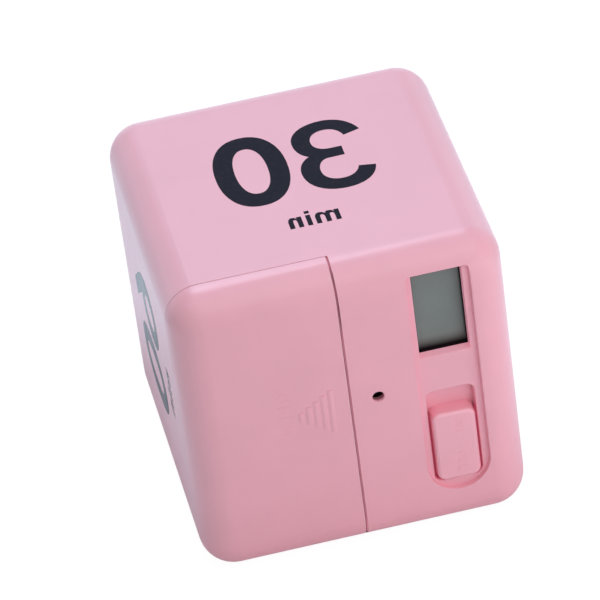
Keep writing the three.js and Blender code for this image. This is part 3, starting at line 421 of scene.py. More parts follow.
FLOAT, COLOUR, VECTOR = "NodeSocketFloat", "NodeSocketColor", "NodeSocketVector"
WHOLE, GEOMETRY, MATERIAL = "NodeSocketInt", "NodeSocketGeometry", "NodeSocketMaterial"
WHITE = (1, 1, 1, 1)
MIX_FACTOR, MIX_A, MIX_B, MIX_RESULT = 0, 6, 7, 2  # where a mix of colours has its sockets
FINISH_OUTPUTS = (("Colour", COLOUR), ("Roughness", FLOAT), ("Height", FLOAT))
CLOUD_RANGE = (0.3, 0.7)  # where most values of a noise lie
HAZE_SCALE = 260.0
EDGE_PATCH_SCALE = 420.0
EDGE_PATCH_RANGE = (0.35, 0.65)
LEAST_EDGE_PATCH = 0.25
EDGE_RANGE = (0.8, 0.99)  # how alike the rounded and the flat normal are, from an edge to a face
EDGE_SAMPLES = 4


def connect(tree, kind, inputs=None, **settings):
    """Adds a node. An input that is a socket is linked, and any other value is set."""
    made = tree.nodes.new(kind)
    for key, value in settings.items():
        setattr(made, key, value)
    for key, value in (inputs or {}).items():
        if isinstance(value, bpy.types.NodeSocket):
            tree.links.new(value, made.inputs[key])
        else:
            made.inputs[key].default_value = value
    return made


def first(tree, kind, inputs=None, **settings):
    """The first output of a node that is added."""
    return connect(tree, kind, inputs, **settings).outputs[0]


def new_tree(kind, name, inputs, outputs):
    """An empty tree with named inputs and outputs, and the sockets that stand for them inside it."""
    tree = bpy.data.node_groups.new(name, kind)
    for label, socket_type, default in inputs:
        socket = tree.interface.new_socket(label, in_out="INPUT", socket_type=socket_type)
        if default is not None:
            socket.default_value = default
    for label, socket_type in outputs:
        tree.interface.new_socket(label, in_out="OUTPUT", socket_type=socket_type)
    return tree, tree.nodes.new("NodeGroupInput").outputs, tree.nodes.new("NodeGroupOutput").inputs


def ranged(tree, value, low, high, start=0.0, end=1.0):
    """A value remapped from start…end to low…high, clamped."""
    inputs = {"Value": value, "From Min": start, "From Max": end, "To Min": low, "To Max": high}
    return first(tree, "ShaderNodeMapRange", inputs)


def calculated(tree, operation, a, b):
    """The result of one sum."""
    return first(tree, "ShaderNodeMath", {0: a, 1: b}, operation=operation)


def vector_sum(tree, operation, a, b=(0.0, 0.0, 0.0)):
    """The result of one sum of vectors, which is a number for some operations."""
    outputs = connect(tree, "ShaderNodeVectorMath", {0: a, 1: b}, operation=operation).outputs
    return outputs["Value" if operation in ("DOT_PRODUCT", "LENGTH") else "Vector"]


def combined(tree, x, y, z):
    return first(tree, "ShaderNodeCombineXYZ", {"X": x, "Y": y, "Z": z})


def blended(tree, factor, a, b):
    """Two colours mixed by a factor."""
    inputs = {MIX_FACTOR: factor, MIX_A: a, MIX_B: b}
    return connect(tree, "ShaderNodeMix", inputs, data_type="RGBA").outputs[MIX_RESULT]


def shaded(tree, colour, shade):
    """A colour times a brightness."""
    return first(tree, "ShaderNodeHueSaturation", {"Value": shade, "Color": colour})


def object_place(tree):
    return connect(tree, "ShaderNodeTexCoord").outputs["Object"]


def noise(tree, place, scale, detail):
    return first(tree, "ShaderNodeTexNoise", {"Vector": place, "Scale": scale, "Detail": detail})


def swung(tree, cloud, middle, reach):
    """A noise spread over a reach on both sides of a middle."""
    low = calculated(tree, "SUBTRACT", middle, reach)
    high = calculated(tree, "ADD", middle, reach)
    return ranged(tree, cloud, low, high, *CLOUD_RANGE)


def make_grain_group():
    """Uneven colour and gloss, and the fine grain that a mould leaves."""
    inputs = [
        ("Colour", COLOUR, WHITE), ("Variation", FLOAT, 0.02), ("Patch scale", FLOAT, 70),
        ("Roughness", FLOAT, 0.45), ("Unevenness", FLOAT, 0.05), ("Grain scale", FLOAT, 3200),
    ]
    tree, given, result = new_tree("ShaderNodeTree", "moulded_grain", inputs, FINISH_OUTPUTS)
    place = object_place(tree)
    shade = swung(tree, noise(tree, place, given["Patch scale"], detail=3.0), 1.0, given["Variation"])
    tree.links.new(shaded(tree, given["Colour"], shade), result["Colour"])
    haze = noise(tree, place, HAZE_SCALE, detail=4.0)
    tree.links.new(swung(tree, haze, given["Roughness"], given["Unevenness"]), result["Roughness"])
    tree.links.new(noise(tree, place, given["Grain scale"], detail=2.0), result["Height"])
    return tree


def make_wear_and_highlight_group():
    """Blends a paler colour in along the edges, in patches: wear, and a painted highlight where edges catch
    the light.
    """
    inputs = [
        ("Colour", COLOUR, WHITE), ("Worn and lit colour", COLOUR, WHITE), ("Radius", FLOAT, 0.3 * MM),
        ("Amount", FLOAT, 0.4),
    ]
    tree, given, result = new_tree("ShaderNodeTree", "edge_wear_and_highlight", inputs, [("Colour", COLOUR)])
    rounded = first(tree, "ShaderNodeBevel", {"Radius": given["Radius"]}, samples=EDGE_SAMPLES)
    surface = connect(tree, "ShaderNodeNewGeometry").outputs["True Normal"]
    edge = ranged(tree, vector_sum(tree, "DOT_PRODUCT", rounded, surface), 1.0, 0.0, *EDGE_RANGE)
    cloud = noise(tree, object_place(tree), EDGE_PATCH_SCALE, detail=3.0)
    patches = ranged(tree, cloud, LEAST_EDGE_PATCH, 1.0, *EDGE_PATCH_RANGE)
    mask = calculated(tree, "MULTIPLY", calculated(tree, "MULTIPLY", edge, patches), given["Amount"])
    tree.links.new(blended(tree, mask, given["Colour"], given["Worn and lit colour"]), result["Colour"])
    return tree


def make_drawn_group():
    """The fine lines that drawing and plating leave in metal."""
    inputs = [
        ("Colour", COLOUR, WHITE), ("Stretch", VECTOR, (1.0, 1.0, 0.05)), ("Scale", FLOAT, 3000),
        ("Variation", FLOAT, 0.1), ("Roughness", FLOAT, 0.3),
    ]
    tree, given, result = new_tree("ShaderNodeTree", "drawn_metal", inputs, FINISH_OUTPUTS)
    place = vector_sum(tree, "MULTIPLY", object_place(tree), given["Stretch"])
    lines = noise(tree, place, given["Scale"], detail=3.0)
    darkest = calculated(tree, "SUBTRACT", 1.0, given["Variation"])
    roughest = calculated(tree, "ADD", given["Roughness"], given["Variation"])
    shade = ranged(tree, lines, darkest, 1.0, *CLOUD_RANGE)
    tree.links.new(shaded(tree, given["Colour"], shade), result["Colour"])
    tree.links.new(ranged(tree, lines, given["Roughness"], roughest, *CLOUD_RANGE), result["Roughness"])
    tree.links.new(lines, result["Height"])
    return tree


GROUP_MAKERS = {
    "moulded_grain": make_grain_group,
    "edge_wear_and_highlight": make_wear_and_highlight_group,
    "drawn_metal": make_drawn_group,
}


def use_group(tree, name, inputs):
    """Adds a group that several materials share. It is built the first time that it is asked for."""
    shared = bpy.data.node_groups.get(name) or GROUP_MAKERS[name]()
    return connect(tree, "ShaderNodeGroup", inputs, node_tree=shared).outputs


def grained(tree, colour, roughness, variation=0.02, scale=3200, unevenness=0.05, patches=70):
    """The outputs of the grain group for one finish."""
    inputs = {"Colour": colour, "Roughness": roughness, "Variation": variation}
    inputs.update({"Grain scale": scale, "Unevenness": unevenness, "Patch scale": patches})
    return use_group(tree, "moulded_grain", inputs)


def new_material(name):
    """A material with its surface shader, and that shader's inputs."""
    made = bpy.data.materials.new(name)
    made.use_nodes = True
    return made, made.node_tree, made.node_tree.nodes["Principled BSDF"].inputs


def cover(tree, shader, colour, roughness, height=None, depth=0.0):
    """Links a finish to the surface shader, with its relief where that has a depth."""
    tree.links.new(colour, shader["Base Color"])
    tree.links.new(roughness, shader["Roughness"])
    if depth:
        bump = first(tree, "ShaderNodeBump", {"Height": height, "Distance": depth, "Strength": 1.0})
        tree.links.new(bump, shader["Normal"])


def opaque(colour):
    return (*colour, 1.0)


def lightened(colour, share):
    """A colour moved by a share of the way to white."""
    return [part + (1.0 - part) * share for part in colour]


def deepened(colour, shade, power):
    """A colour darkened and made richer."""
    return [shade * part**power for part in colour]


# Finishes

# The pink's lighter edges are partly a painted highlight and partly wear.
PINK_GLOSS = {"roughness": 0.33, "unevenness": 0.015, "depth": 0.001 * MM, "wear_and_highlight": 0.15, "worn_and_lit_share": 0.2}
# Painted light and shade for recesses: paler and darker copies of the pink, and the glow that each is given.
WALL_LIGHTENING_SHARE = 0.2
WALL_GLOW = (0.18, 0.045, 0.075, 1)
SEAM_GLOW = (0.2, 0.055, 0.08, 1)
SLOT_GLOW = (0.06, 0.01, 0.018, 1)
GAP_GLOW = (0.11, 0.0, 0.015, 1)
SEAM_SHADE, SEAM_DEEPENING = 0.85, 1.3
GAP_SHADE, GAP_DEEPENING = 0.45, 2
RECESS_GLOSS = 0.15
SOFT_FOAM_GLOSS = 0.1
FOAM_SCALE = 3800.0
FOAM_RANGE = (0.0, 0.5)
INK_GLOSS = 0.025
INK_SCALE = 900.0
INK_RANGE = (0.5, 0.75)
INK_THINNING = 0.01
POLARISER_GLOSS = 0.2
METAL_RELIEF = 0.002 * MM
METAL_VARIATION = 0.12
METAL_EDGE_RADIUS = 0.12 * MM
METAL_WEAR = 0.5
ALL_WAYS, ALONG_Z, ALONG_Y = (1.0, 1.0, 1.0), (1.0, 1.0, 0.05), (1.0, 0.2, 1.0)
BLACK_FOAM, FOAM_PORE_SHADE = (0.008, 0.002, 0.004, 1), (0.004, 0.004, 0.004, 1)
RUBBER, CARBON = (0.66, 0.6, 0.56, 1), (0.02, 0.02, 0.022, 1)
LAYER_SCALE = 900.0
LAYER_RANGE = (0.35, 0.65)
MASK_GREEN, COPPER_GREEN = (0.015, 0.12, 0.045, 1), (0.03, 0.2, 0.07, 1)
TRACK_SCALE = 420.0
TRACK_RANGE = (0.06, 0.1)
WRAP_GREY, WRAP_BLUE = (0.62, 0.63, 0.65, 1), (0.03, 0.09, 0.16, 1)
CELL_BAND_SHARE = 0.24
CELL_LINE_SHARE = 0.28
CELL_LINE_HALF = 0.008
CELL_PRINT_BLUR = 0.003
# Painted shade on the display, along its lower edge and its sides.
DISPLAY_SHADE_COLOUR = (0.01, 0.002, 0.004, 1)
DISPLAY_SHADE_HEIGHT = 2.9 * MM
DISPLAY_SHADE_POWER = 1.6
DISPLAY_SIDE_SHADE = 0.45 * MM
DISPLAY_LEFT_DARKNESS, DISPLAY_RIGHT_DARKNESS = 0.75, 0.9
WINDOW_SILL = 1.0 * MM  # from the glass's lower edge to the window's


def moulded(
    name,
    colour,
    roughness=0.34,
    unevenness=0.05,
    variation=0.02,
    scale=3200,
    depth=0.002 * MM,
    wear_and_highlight=0.3,
    worn_and_lit_share=0.3,
):
    """Moulded plastic: fine grain, uneven gloss and lighter edges, which are partly wear and partly a painted
    highlight.
    """
    existing = bpy.data.materials.get(name)
    if existing:
        return existing
    material, tree, shader = new_material(name)
    grain = grained(tree, opaque(colour), roughness, variation, scale, unevenness)
    inputs = {"Colour": grain["Colour"], "Worn and lit colour": opaque(lightened(colour, worn_and_lit_share)), "Amount": wear_and_highlight}
    edged = use_group(tree, "edge_wear_and_highlight", inputs)
    cover(tree, shader, edged["Colour"], grain["Roughness"], grain["Height"], depth)
    return material


def metal(name, colour, roughness, stretch, scale):
    """Plated or drawn metal with fine lines."""
    existing = bpy.data.materials.get(name)
    if existing:
        return existing
    material, tree, shader = new_material(name)
    shader["Metallic"].default_value = 1.0
    inputs = {"Colour": opaque(colour), "Stretch": stretch, "Scale": scale, "Roughness": roughness}
    drawn = use_group(tree, "drawn_metal", {**inputs, "Variation": METAL_VARIATION})
    inputs = {"Colour": drawn["Colour"], "Worn and lit colour": opaque(lightened(colour, METAL_WEAR))}
    edged = use_group(tree, "edge_wear_and_highlight", {**inputs, "Radius": METAL_EDGE_RADIUS, "Amount": METAL_WEAR})
    cover(tree, shader, edged["Colour"], drawn["Roughness"], drawn["Height"], METAL_RELIEF)
    return material


def pink_plastic():
    return moulded("pink_plastic", colours().pink, **PINK_GLOSS)


def glowing_recess(name, colour, light):
    """Pink plastic for a recess: little gloss, and a painted glow that stands in for the light there."""
    material = moulded(name, colour, **PINK_GLOSS)
    shader = material.node_tree.nodes["Principled BSDF"].inputs
    shader["Emission Color"].default_value = light
    shader["Emission Strength"].default_value = 1.0
    shader["Specular IOR Level"].default_value = RECESS_GLOSS
    return material


def lit_wall_plastic():
    """A paler copy of the plastic with a painted glow: painted light for the walls round the display."""
    return glowing_recess("lit_wall_plastic", lightened(colours().pink, WALL_LIGHTENING_SHARE), WALL_GLOW)


def glowing_slot_plastic():
    """The plastic of the walls that close round the key, with a faint painted glow."""
    return glowing_recess("glowing_slot_plastic", colours().pink, SLOT_GLOW)


def shaded_seam_plastic():
    """The same plastic darkened and made richer, with a painted glow: painted shade and light for the seam.
    """
    return glowing_recess("shaded_seam_plastic", deepened(colours().pink, SEAM_SHADE, SEAM_DEEPENING), SEAM_GLOW)


def shaded_gap_plastic():
    """The same plastic darkened and made richer, with a faint painted glow: painted shade for the narrow gap
    round the key.
    """
    return glowing_recess("shaded_gap_plastic", deepened(colours().pink, GAP_SHADE, GAP_DEEPENING), GAP_GLOW)


def key_plastic():
    return moulded("key_plastic", colours().key_pink, **PINK_GLOSS)


def tray_plastic():
    return moulded("tray_plastic", colours().pink, roughness=0.36, scale=2200)


def black_plastic():
    return moulded("black_plastic", (0.02, 0.02, 0.022), roughness=0.38, variation=0.15, worn_and_lit_share=0.15)


def white_plastic():
    return moulded("white_plastic", (0.78, 0.78, 0.75), roughness=0.4, worn_and_lit_share=0.4)


def lead_plastic(name, colour):
    return moulded(name, colour, roughness=0.34, variation=0.06, scale=1600)


def epoxy():
    black = (0.012, 0.012, 0.013)
    return moulded("epoxy", black, roughness=0.18, variation=0.3, scale=900, depth=0.01 * MM, worn_and_lit_share=0.08)


def foam():
    """Closed-cell foam: small cells, painted darker in their hollows as shade."""
    material, tree, shader = new_material("foam")
    inputs = {"Vector": object_place(tree), "Scale": FOAM_SCALE}
    cells = connect(tree, "ShaderNodeTexVoronoi", inputs).outputs["Distance"]
    grain = grained(tree, BLACK_FOAM, roughness=0.85, variation=0.3, scale=2600)
    colour = blended(tree, ranged(tree, cells, 1.0, 0.0, *FOAM_RANGE), grain["Colour"], FOAM_PORE_SHADE)
    cover(tree, shader, colour, grain["Roughness"], cells, depth=0.06 * MM)
    shader["Specular IOR Level"].default_value = SOFT_FOAM_GLOSS
    return material


def striped_rubber():
    """Rubber of thin conducting and insulating layers."""
    material, tree, shader = new_material("striped_rubber")
    inputs = {"Vector": object_place(tree), "Scale": LAYER_SCALE, "Distortion": 0.3}
    layers = connect(tree, "ShaderNodeTexWave", inputs, bands_direction="Z").outputs["Fac"]
    grain = grained(tree, RUBBER, roughness=0.6, variation=0.05)
    colour = blended(tree, ranged(tree, layers, 0.0, 1.0, *LAYER_RANGE), grain["Colour"], CARBON)
    cover(tree, shader, colour, grain["Roughness"], layers, depth=0.01 * MM)
    return material


def ink():
    """Pad-printed ink, a little thin in places."""
    existing = bpy.data.materials.get("ink")
    if existing:
        return existing
    material, tree, shader = new_material("ink")
    colour = opaque(colours().ink)
    grain = grained(tree, colour, roughness=0.22, variation=0.05, unevenness=0.02, patches=160)
    cloud = noise(tree, object_place(tree), INK_SCALE, detail=4.0)
    thin = ranged(tree, cloud, 0.0, INK_THINNING, *INK_RANGE)
    colour = blended(tree, thin, grain["Colour"], opaque(colours().pink))
    cover(tree, shader, colour, grain["Roughness"], grain["Height"], depth=0.002 * MM)
    shader["Specular IOR Level"].default_value = INK_GLOSS
    return material


def display_face():
    """The display behind its polariser: an even grey-green, with painted shade along the lower edge and at
    the sides.
    """
    material, tree, shader = new_material("display_face")
    parts = connect(tree, "ShaderNodeSeparateXYZ", {"Vector": object_place(tree)}).outputs
    sill = DISPLAY_LOW.z + WINDOW_SILL
    left_end = DISPLAY_LOW.x + WINDOW_SILL + DISPLAY_SIDE_SHADE
    right_end = DISPLAY_HIGH.x - WINDOW_SILL
    lower = ranged(tree, parts["Z"], 1.0, 0.0, sill, sill + DISPLAY_SHADE_HEIGHT)
    left = ranged(tree, parts["X"], DISPLAY_LEFT_DARKNESS, 0.0, left_end, left_end + DISPLAY_SIDE_SHADE / 2)
    right = ranged(tree, parts["X"], 0.0, DISPLAY_RIGHT_DARKNESS, right_end - DISPLAY_SIDE_SHADE, right_end)
    shade = calculated(tree, "POWER", lower, DISPLAY_SHADE_POWER)
    for side in (left, right):
        shade = calculated(tree, "MAXIMUM", shade, side)
    colour = opaque(colours().display)
    grain = grained(tree, colour, roughness=0.3, variation=0.07, unevenness=0.03, patches=110)
    colour = blended(tree, shade, grain["Colour"], DISPLAY_SHADE_COLOUR)
    cover(tree, shader, colour, grain["Roughness"], grain["Height"], depth=0.001 * MM)
    shader["Specular IOR Level"].default_value = POLARISER_GLOSS
    return material


def board_mask():
    """Solder mask over copper tracks."""
    material, tree, shader = new_material("board_mask")
    across = vector_sum(tree, "MULTIPLY", object_place(tree), (1.0, 0.0, 1.0))
    inputs = {"Vector": across, "Scale": TRACK_SCALE, "Randomness": 0.75}
    tracks = connect(tree, "ShaderNodeTexVoronoi", inputs, feature="DISTANCE_TO_EDGE").outputs["Distance"]
    copper = ranged(tree, tracks, 1.0, 0.0, *TRACK_RANGE)
    grain = grained(tree, MASK_GREEN, roughness=0.32, variation=0.12, scale=1400)
    colour = blended(tree, copper, grain["Colour"], COPPER_GREEN)
    cover(tree, shader, colour, grain["Roughness"], copper, depth=0.03 * MM)
    return material


def cell_wrap(name, positive_z, negative_z):
    """A plain wrap: pale along the cell, with a dark band and a line next to the positive end."""
    material, tree, shader = new_material(name)
    height = connect(tree, "ShaderNodeSeparateXYZ", {"Vector": object_place(tree)}).outputs["Z"]
    share = ranged(tree, height, 0.0, 1.0, positive_z, negative_z)
    band = ranged(tree, share, 1.0, 0.0, CELL_BAND_SHARE, CELL_BAND_SHARE + CELL_PRINT_BLUR)
    off_line = calculated(tree, "ABSOLUTE", calculated(tree, "SUBTRACT", share, CELL_LINE_SHARE), 0.0)
    line = ranged(tree, off_line, 1.0, 0.0, CELL_LINE_HALF, CELL_LINE_HALF + CELL_PRINT_BLUR)
    grain = grained(tree, WRAP_GREY, roughness=0.24, variation=0.04, scale=500)
    colour = blended(tree, calculated(tree, "MAXIMUM", band, line), grain["Colour"], WRAP_BLUE)
    cover(tree, shader, colour, grain["Roughness"], grain["Height"], depth=0.01 * MM)
    return material


def plated_steel():
    return metal("plated_steel", (0.62, 0.61, 0.58), roughness=0.26, stretch=ALONG_Z, scale=3000)


def spring_steel():
    return metal("spring_steel", (0.58, 0.58, 0.56), roughness=0.2, stretch=ALL_WAYS, scale=1500)


def screw_steel():
    return metal("screw_steel", (0.5, 0.5, 0.5), roughness=0.3, stretch=ALONG_Y, scale=2000)


def ball_steel():
    return metal("ball_steel", (0.66, 0.66, 0.67), roughness=0.1, stretch=ALL_WAYS, scale=700)


def solder():
    return metal("solder", (0.6, 0.61, 0.63), roughness=0.24, stretch=ALL_WAYS, scale=900)


# Geometry Nodes building

GEOMETRY_OUTPUT = (("Geometry", GEOMETRY),)


def end_tree(tree, geometry, material, result):
    """Ends a tree as the export needs it: real geometry with its material."""
    real = first(tree, "GeometryNodeRealizeInstances", {"Geometry": geometry})
    painted = first(tree, "GeometryNodeSetMaterial", {"Geometry": real, "Material": material})
    tree.links.new(painted, result["Geometry"])


def grown(name, tree, values, points=()):
    """The plain mesh that a tree makes from its inputs and, where it asks for them, from points."""
    seed = bpy.data.meshes.new(name + "_seed")
    seed.from_pydata(list(points), [], [])
    holder = add_object(name + "_holder", seed)
    modifier = holder.modifiers.new("form", "NODES")
    modifier.node_group = tree
    for item in tree.interface.items_tree:
        if item.item_type == "SOCKET" and item.in_out == "INPUT" and item.name in values:
            modifier[item.identifier] = values[item.name]
    depsgraph = bpy.context.evaluated_depsgraph_get()
    mesh = bpy.data.meshes.new_from_object(holder.evaluated_get(depsgraph), depsgraph=depsgraph)
    mesh.name = name
    bpy.data.objects.remove(holder)
    bpy.data.meshes.remove(seed)
    return add_object(name, mesh)


# Shells

CORNER_RADIUS = 7 * MM
SEAM_GAP = 0.2 * MM  # between the door's side and the case
SEAM_DEPTH = 0.12 * MM
UPPER_SEAM_DEPTH = 0.4 * MM
LIP_THICKNESS = 0.6 * MM
LIP_CLEARANCE = 0.01 * MM
LIP_SINK = 0.1 * MM
CHANNEL_DEPTH = 1.2 * MM
KEY_FACE_DEPTH = 1.5 * MM
KEY_SIDE_GAP = 0.35 * MM
KEY_BOTTOM_GAP = 0.3 * MM
SLOT_CORNER_RADIUS = 1.6 * MM
SLOT_LIP_DEPTH = 0.6 * MM
SLOT_LIP_REACH = 0.38 * MM
SLOT_LIP_END = 0.9 * MM  # below the key's upper edge
SIDEWAYS_NORMAL = 0.5


def arc_points(middle, radius, start):
    """Points on a quarter of a circle, clockwise from an angle in degrees."""
    turns = [math.radians(start - 90 * step / CURVE_STEPS) for step in range(CURVE_STEPS + 1)]
    return [(middle[0] + radius * math.cos(turn), middle[1] + radius * math.sin(turn)) for turn in turns]


def front_path(back, inset, upper_inset):
    """The (y, z) points of a line round the case's front, from under it to its top, below the surface."""
    y = FRONT + CORNER_RADIUS
    low, high = HOUSING_LOW.z, HOUSING_HIGH.z
    lower = arc_points((y, low + CORNER_RADIUS), CORNER_RADIUS - inset, 270)
    upper = arc_points((y, high - CORNER_RADIUS), CORNER_RADIUS - upper_inset, 180)
    level = (FRONT + inset, high - 2 * CORNER_RADIUS)
    return [(back, low + inset), *lower, level, *upper, (back, high - upper_inset)]


def points_before(node, depth):
    """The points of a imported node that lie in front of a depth."""
    return [v.co for v in frame["nodes"][node].data.vertices if v.co.y < depth]


def make_seam_lip():
    """The case's narrow lip that closes the seam beside the door, in the seam's painted shade and glow."""
    door_side = max(v.x for v in points_before("battery_door", FRONT + LIP_THICKNESS))
    x0 = door_side + LIP_CLEARANCE
    x1 = door_side + SEAM_GAP + LIP_SINK
    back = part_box("battery_door")[1].y
    bm = bmesh.new()
    outer = front_path(back, SEAM_DEPTH, UPPER_SEAM_DEPTH)
    inner = front_path(back, SEAM_DEPTH + LIP_THICKNESS, UPPER_SEAM_DEPTH + LIP_THICKNESS)
    sections = []
    for near, far in zip(outer, inner):
        corners = ((x0, *near), (x1, *near), (x1, *far), (x0, *far))
        sections.append([bm.verts.new(corner) for corner in corners])
    bar_form(bm, sections)
    seat(finished("seam_lip", bm, SMALL_ANGLE, shaded_seam_plastic()), "case", "pink_shell")


def slot_edge(bm, x0, x1, z0, z1, inset, y):
    """Vertices down one side of the key's slot, round its lower corners and up the other side."""
    radius = SLOT_CORNER_RADIUS - inset
    middle_z = z0 + SLOT_CORNER_RADIUS
    right = arc_points((x1 - SLOT_CORNER_RADIUS, middle_z), radius, 0)
    left = arc_points((x0 + SLOT_CORNER_RADIUS, middle_z), radius, 270)
    return [bm.verts.new((x, y, z)) for x, z in ((x1 - inset, z1), *right, *left, (x0 + inset, z1))]


def make_slot_lip():
    """The narrow step inside the key's slot, beside and under the key, in the gap's painted shade."""
    face = points_before("slide_key", KEY_LOW.y + KEY_FACE_DEPTH)
    x0 = min(v.x for v in face) - KEY_SIDE_GAP
    x1 = max(v.x for v in face) + KEY_SIDE_GAP
    z0 = min(v.z for v in face) - KEY_BOTTOM_GAP
    z1 = max(v.z for v in face) - SLOT_LIP_END
    near = FRONT + CHANNEL_DEPTH + SLOT_LIP_DEPTH
    far = near + LIP_THICKNESS
    bm = bmesh.new()
    places = ((-LIP_SINK, near), (SLOT_LIP_REACH, near), (SLOT_LIP_REACH, far), (-LIP_SINK, far))
    bar_form(bm, list(zip(*(slot_edge(bm, x0, x1, z0, z1, inset, y) for inset, y in places))))
    seat(finished("slot_lip", bm, SMALL_ANGLE, shaded_gap_plastic()), "case", "pink_shell")


def make_housing():
    """The case, with painted light on the inner walls round the display and the key: a paler copy of the pink
    that glows, and a copy that glows faintly.
    """
    bm = merged_node("main_housing")
    for face in bm.faces:
        middle = face.calc_center_median()
        inner = FRONT + CHANNEL_DEPTH < middle.y < DISPLAY_LOW.y and abs(face.normal.y) < SIDEWAYS_NORMAL
        for index, (low, high) in enumerate(((DISPLAY_LOW, DISPLAY_HIGH), (KEY_LOW, KEY_HIGH)), 1):
            if inner and low.x < middle.x < high.x and low.z < middle.z < high.z:
                face.material_index = index
    shell = finished("housing_shell", bm, SHELL_ANGLE, pink_plastic(), lit_wall_plastic(), glowing_slot_plastic())
    seat(shell, "case", "pink_shell", "main_housing")


def make_shells():
    """The housing and the back cover."""
    make_housing()
    dressed("back_cover", "pink_shell", pink_plastic(), SHELL_ANGLE, name="back_cover_shell")
    make_seam_lip()
    make_slot_lip()


class FLIPTIMER_OT_shells(bpy.types.Operator):
    """Give the housing and the back cover their moulded finish"""

    bl_idname = "flip_timer.shells"
    bl_label = "Moulded Shells"

    def execute(self, context):
        make_shells()
        return {"FINISHED"}


# Battery door

RIB_COUNT = 5
RIB_PITCH = 1.53 * MM
RIB_WIDTH = 1.3 * MM
RIB_HALF_HEIGHT = 0.34 * MM
RIB_SINK = 0.16 * MM
RIB_TALLEST = 10 * MM
RIB_STEP = 2 * MM
RIB_SIDES = 32
FIRST_RIB_X = -4.3 * MM
RIB_Z = 34.8 * MM
SOLID_RIB_LEAST = 0.05 * MM  # the square ribs stand out by more than this
DOOR_WORD = "OPEN"
DOOR_WORD_HEIGHT = 2.7 * MM
DOOR_WORD_GAP = 0.9 * MM
DOOR_WORD_X = -13.3 * MM
DOOR_WORD_Z = 36.2 * MM
RELIEF_SINK = 0.05 * MM


def without_ribs(bm):
    """Takes the square ribs off the door's face and closes it, for the rounded ribs that stand there."""
    ribs = [v for v in bm.verts if v.co.y < FRONT - SOLID_RIB_LEAST]
    bmesh.ops.delete(bm, geom=ribs, context="VERTS")
    rims = [e for e in bm.edges if e.is_boundary]
    bmesh.ops.holes_fill(bm, edges=rims, sides=0)
    return bm


def rib_tree():
    """Low rounded ribs in a row, each shorter than the one before, that stand on the face."""
    inputs = [
        ("Count", WHOLE, 1), ("Sides", WHOLE, 8), ("Start", VECTOR, (0, 0, 0)), ("Pitch", FLOAT, 1.0),
        ("Tallest", FLOAT, 1.0), ("Step", FLOAT, 0.0), ("Width", FLOAT, 1.0), ("Half height", FLOAT, 1.0),
        ("Material", MATERIAL, None),
    ]
    tree, given, result = new_tree("GeometryNodeTree", "grip_ribs", inputs, GEOMETRY_OUTPUT)
    offset = combined(tree, calculated(tree, "MULTIPLY", given["Pitch"], -1.0), 0.0, 0.0)
    row = first(tree, "GeometryNodeMeshLine", {"Count": given["Count"], "Offset": offset})
    shorter = calculated(tree, "MULTIPLY", first(tree, "GeometryNodeInputIndex"), given["Step"])
    stretch = combined(tree, 1.0, 1.0, calculated(tree, "SUBTRACT", given["Tallest"], shorter))
    bar = first(tree, "GeometryNodeCurvePrimitiveLine", {"Start": (0, 0, -0.5), "End": (0, 0, 0.5)})
    bars = first(tree, "GeometryNodeInstanceOnPoints", {"Points": row, "Instance": bar, "Scale": stretch})
    lines = first(tree, "GeometryNodeRealizeInstances", {"Geometry": bars})
    radius = calculated(tree, "MULTIPLY", given["Width"], 0.5)
    inputs = {"Resolution": given["Sides"], "Radius": radius}
    section = first(tree, "GeometryNodeCurvePrimitiveCircle", inputs)
    inputs = {"Curve": lines, "Profile Curve": section, "Fill Caps": True}
    swept = first(tree, "GeometryNodeCurveToMesh", inputs)
    squash = combined(tree, 1.0, calculated(tree, "DIVIDE", given["Half height"], radius), 1.0)
    placed = {"Geometry": swept, "Translation": given["Start"], "Scale": squash}
    end_tree(tree, first(tree, "GeometryNodeTransform", placed), given["Material"], result)
    return tree


def make_grip_ribs():
    """The door's grip, sunk in the face so that only the crests stand out."""
    values = {
        "Count": RIB_COUNT,
        "Sides": RIB_SIDES,
        "Start": Vector((FIRST_RIB_X, FRONT + RIB_SINK, RIB_Z)),
        "Pitch": RIB_PITCH,
        "Tallest": RIB_TALLEST,
        "Step": RIB_STEP,
        "Width": RIB_WIDTH,
        "Half height": RIB_HALF_HEIGHT,
        "Material": pink_plastic(),
    }
    ribs = grown("grip_ribs", rib_tree(), values)
    for polygon in ribs.data.polygons:
        polygon.use_smooth = len(polygon.vertices) == 4
    seat(ribs, "door", "pink_shell")


def raised_word(name, word, x, y, z, height, gap, material):
    """A small word that stands out of a face, written along the object's height in the mirrored direction."""
    place = face_frame(Vector((x, y, z)), -Z, -X, -Y)
    lines = [text_loops(word, height, gap, -height / 2)]
    return lettered(name, lines, place, -RELIEF_SINK, sizes().relief_height, material)


def make_door():
    """The battery door, its grip and the moulded word beside it."""
    shell = finished("door_shell", without_ribs(merged_node("battery_door")), SHELL_ANGLE, pink_plastic())
    seat(shell, "door", "pink_shell", "battery_door")
    make_grip_ribs()
    place = (DOOR_WORD_X, FRONT, DOOR_WORD_Z)
    word = raised_word("door_word", DOOR_WORD, *place, DOOR_WORD_HEIGHT, DOOR_WORD_GAP, pink_plastic())
    seat(word, "door", "pink_shell")


class FLIPTIMER_OT_door(bpy.types.Operator):
    """Make the battery door with its grip ribs and moulded word"""

    bl_idname = "flip_timer.door"
    bl_label = "Battery Door"

    def execute(self, context):
        make_door()
        return {"FINISHED"}


# Slide key

KEY_WORDS = (("ON", 24.6 * MM), ("OFF", 15.8 * MM))
KEY_WORD_HEIGHT = 1.9 * MM
KEY_WORD_GAP = 0.5 * MM
KEY_WORD_OFFSET = 0.9 * MM
KEY_LEAN = 0.14 * MM


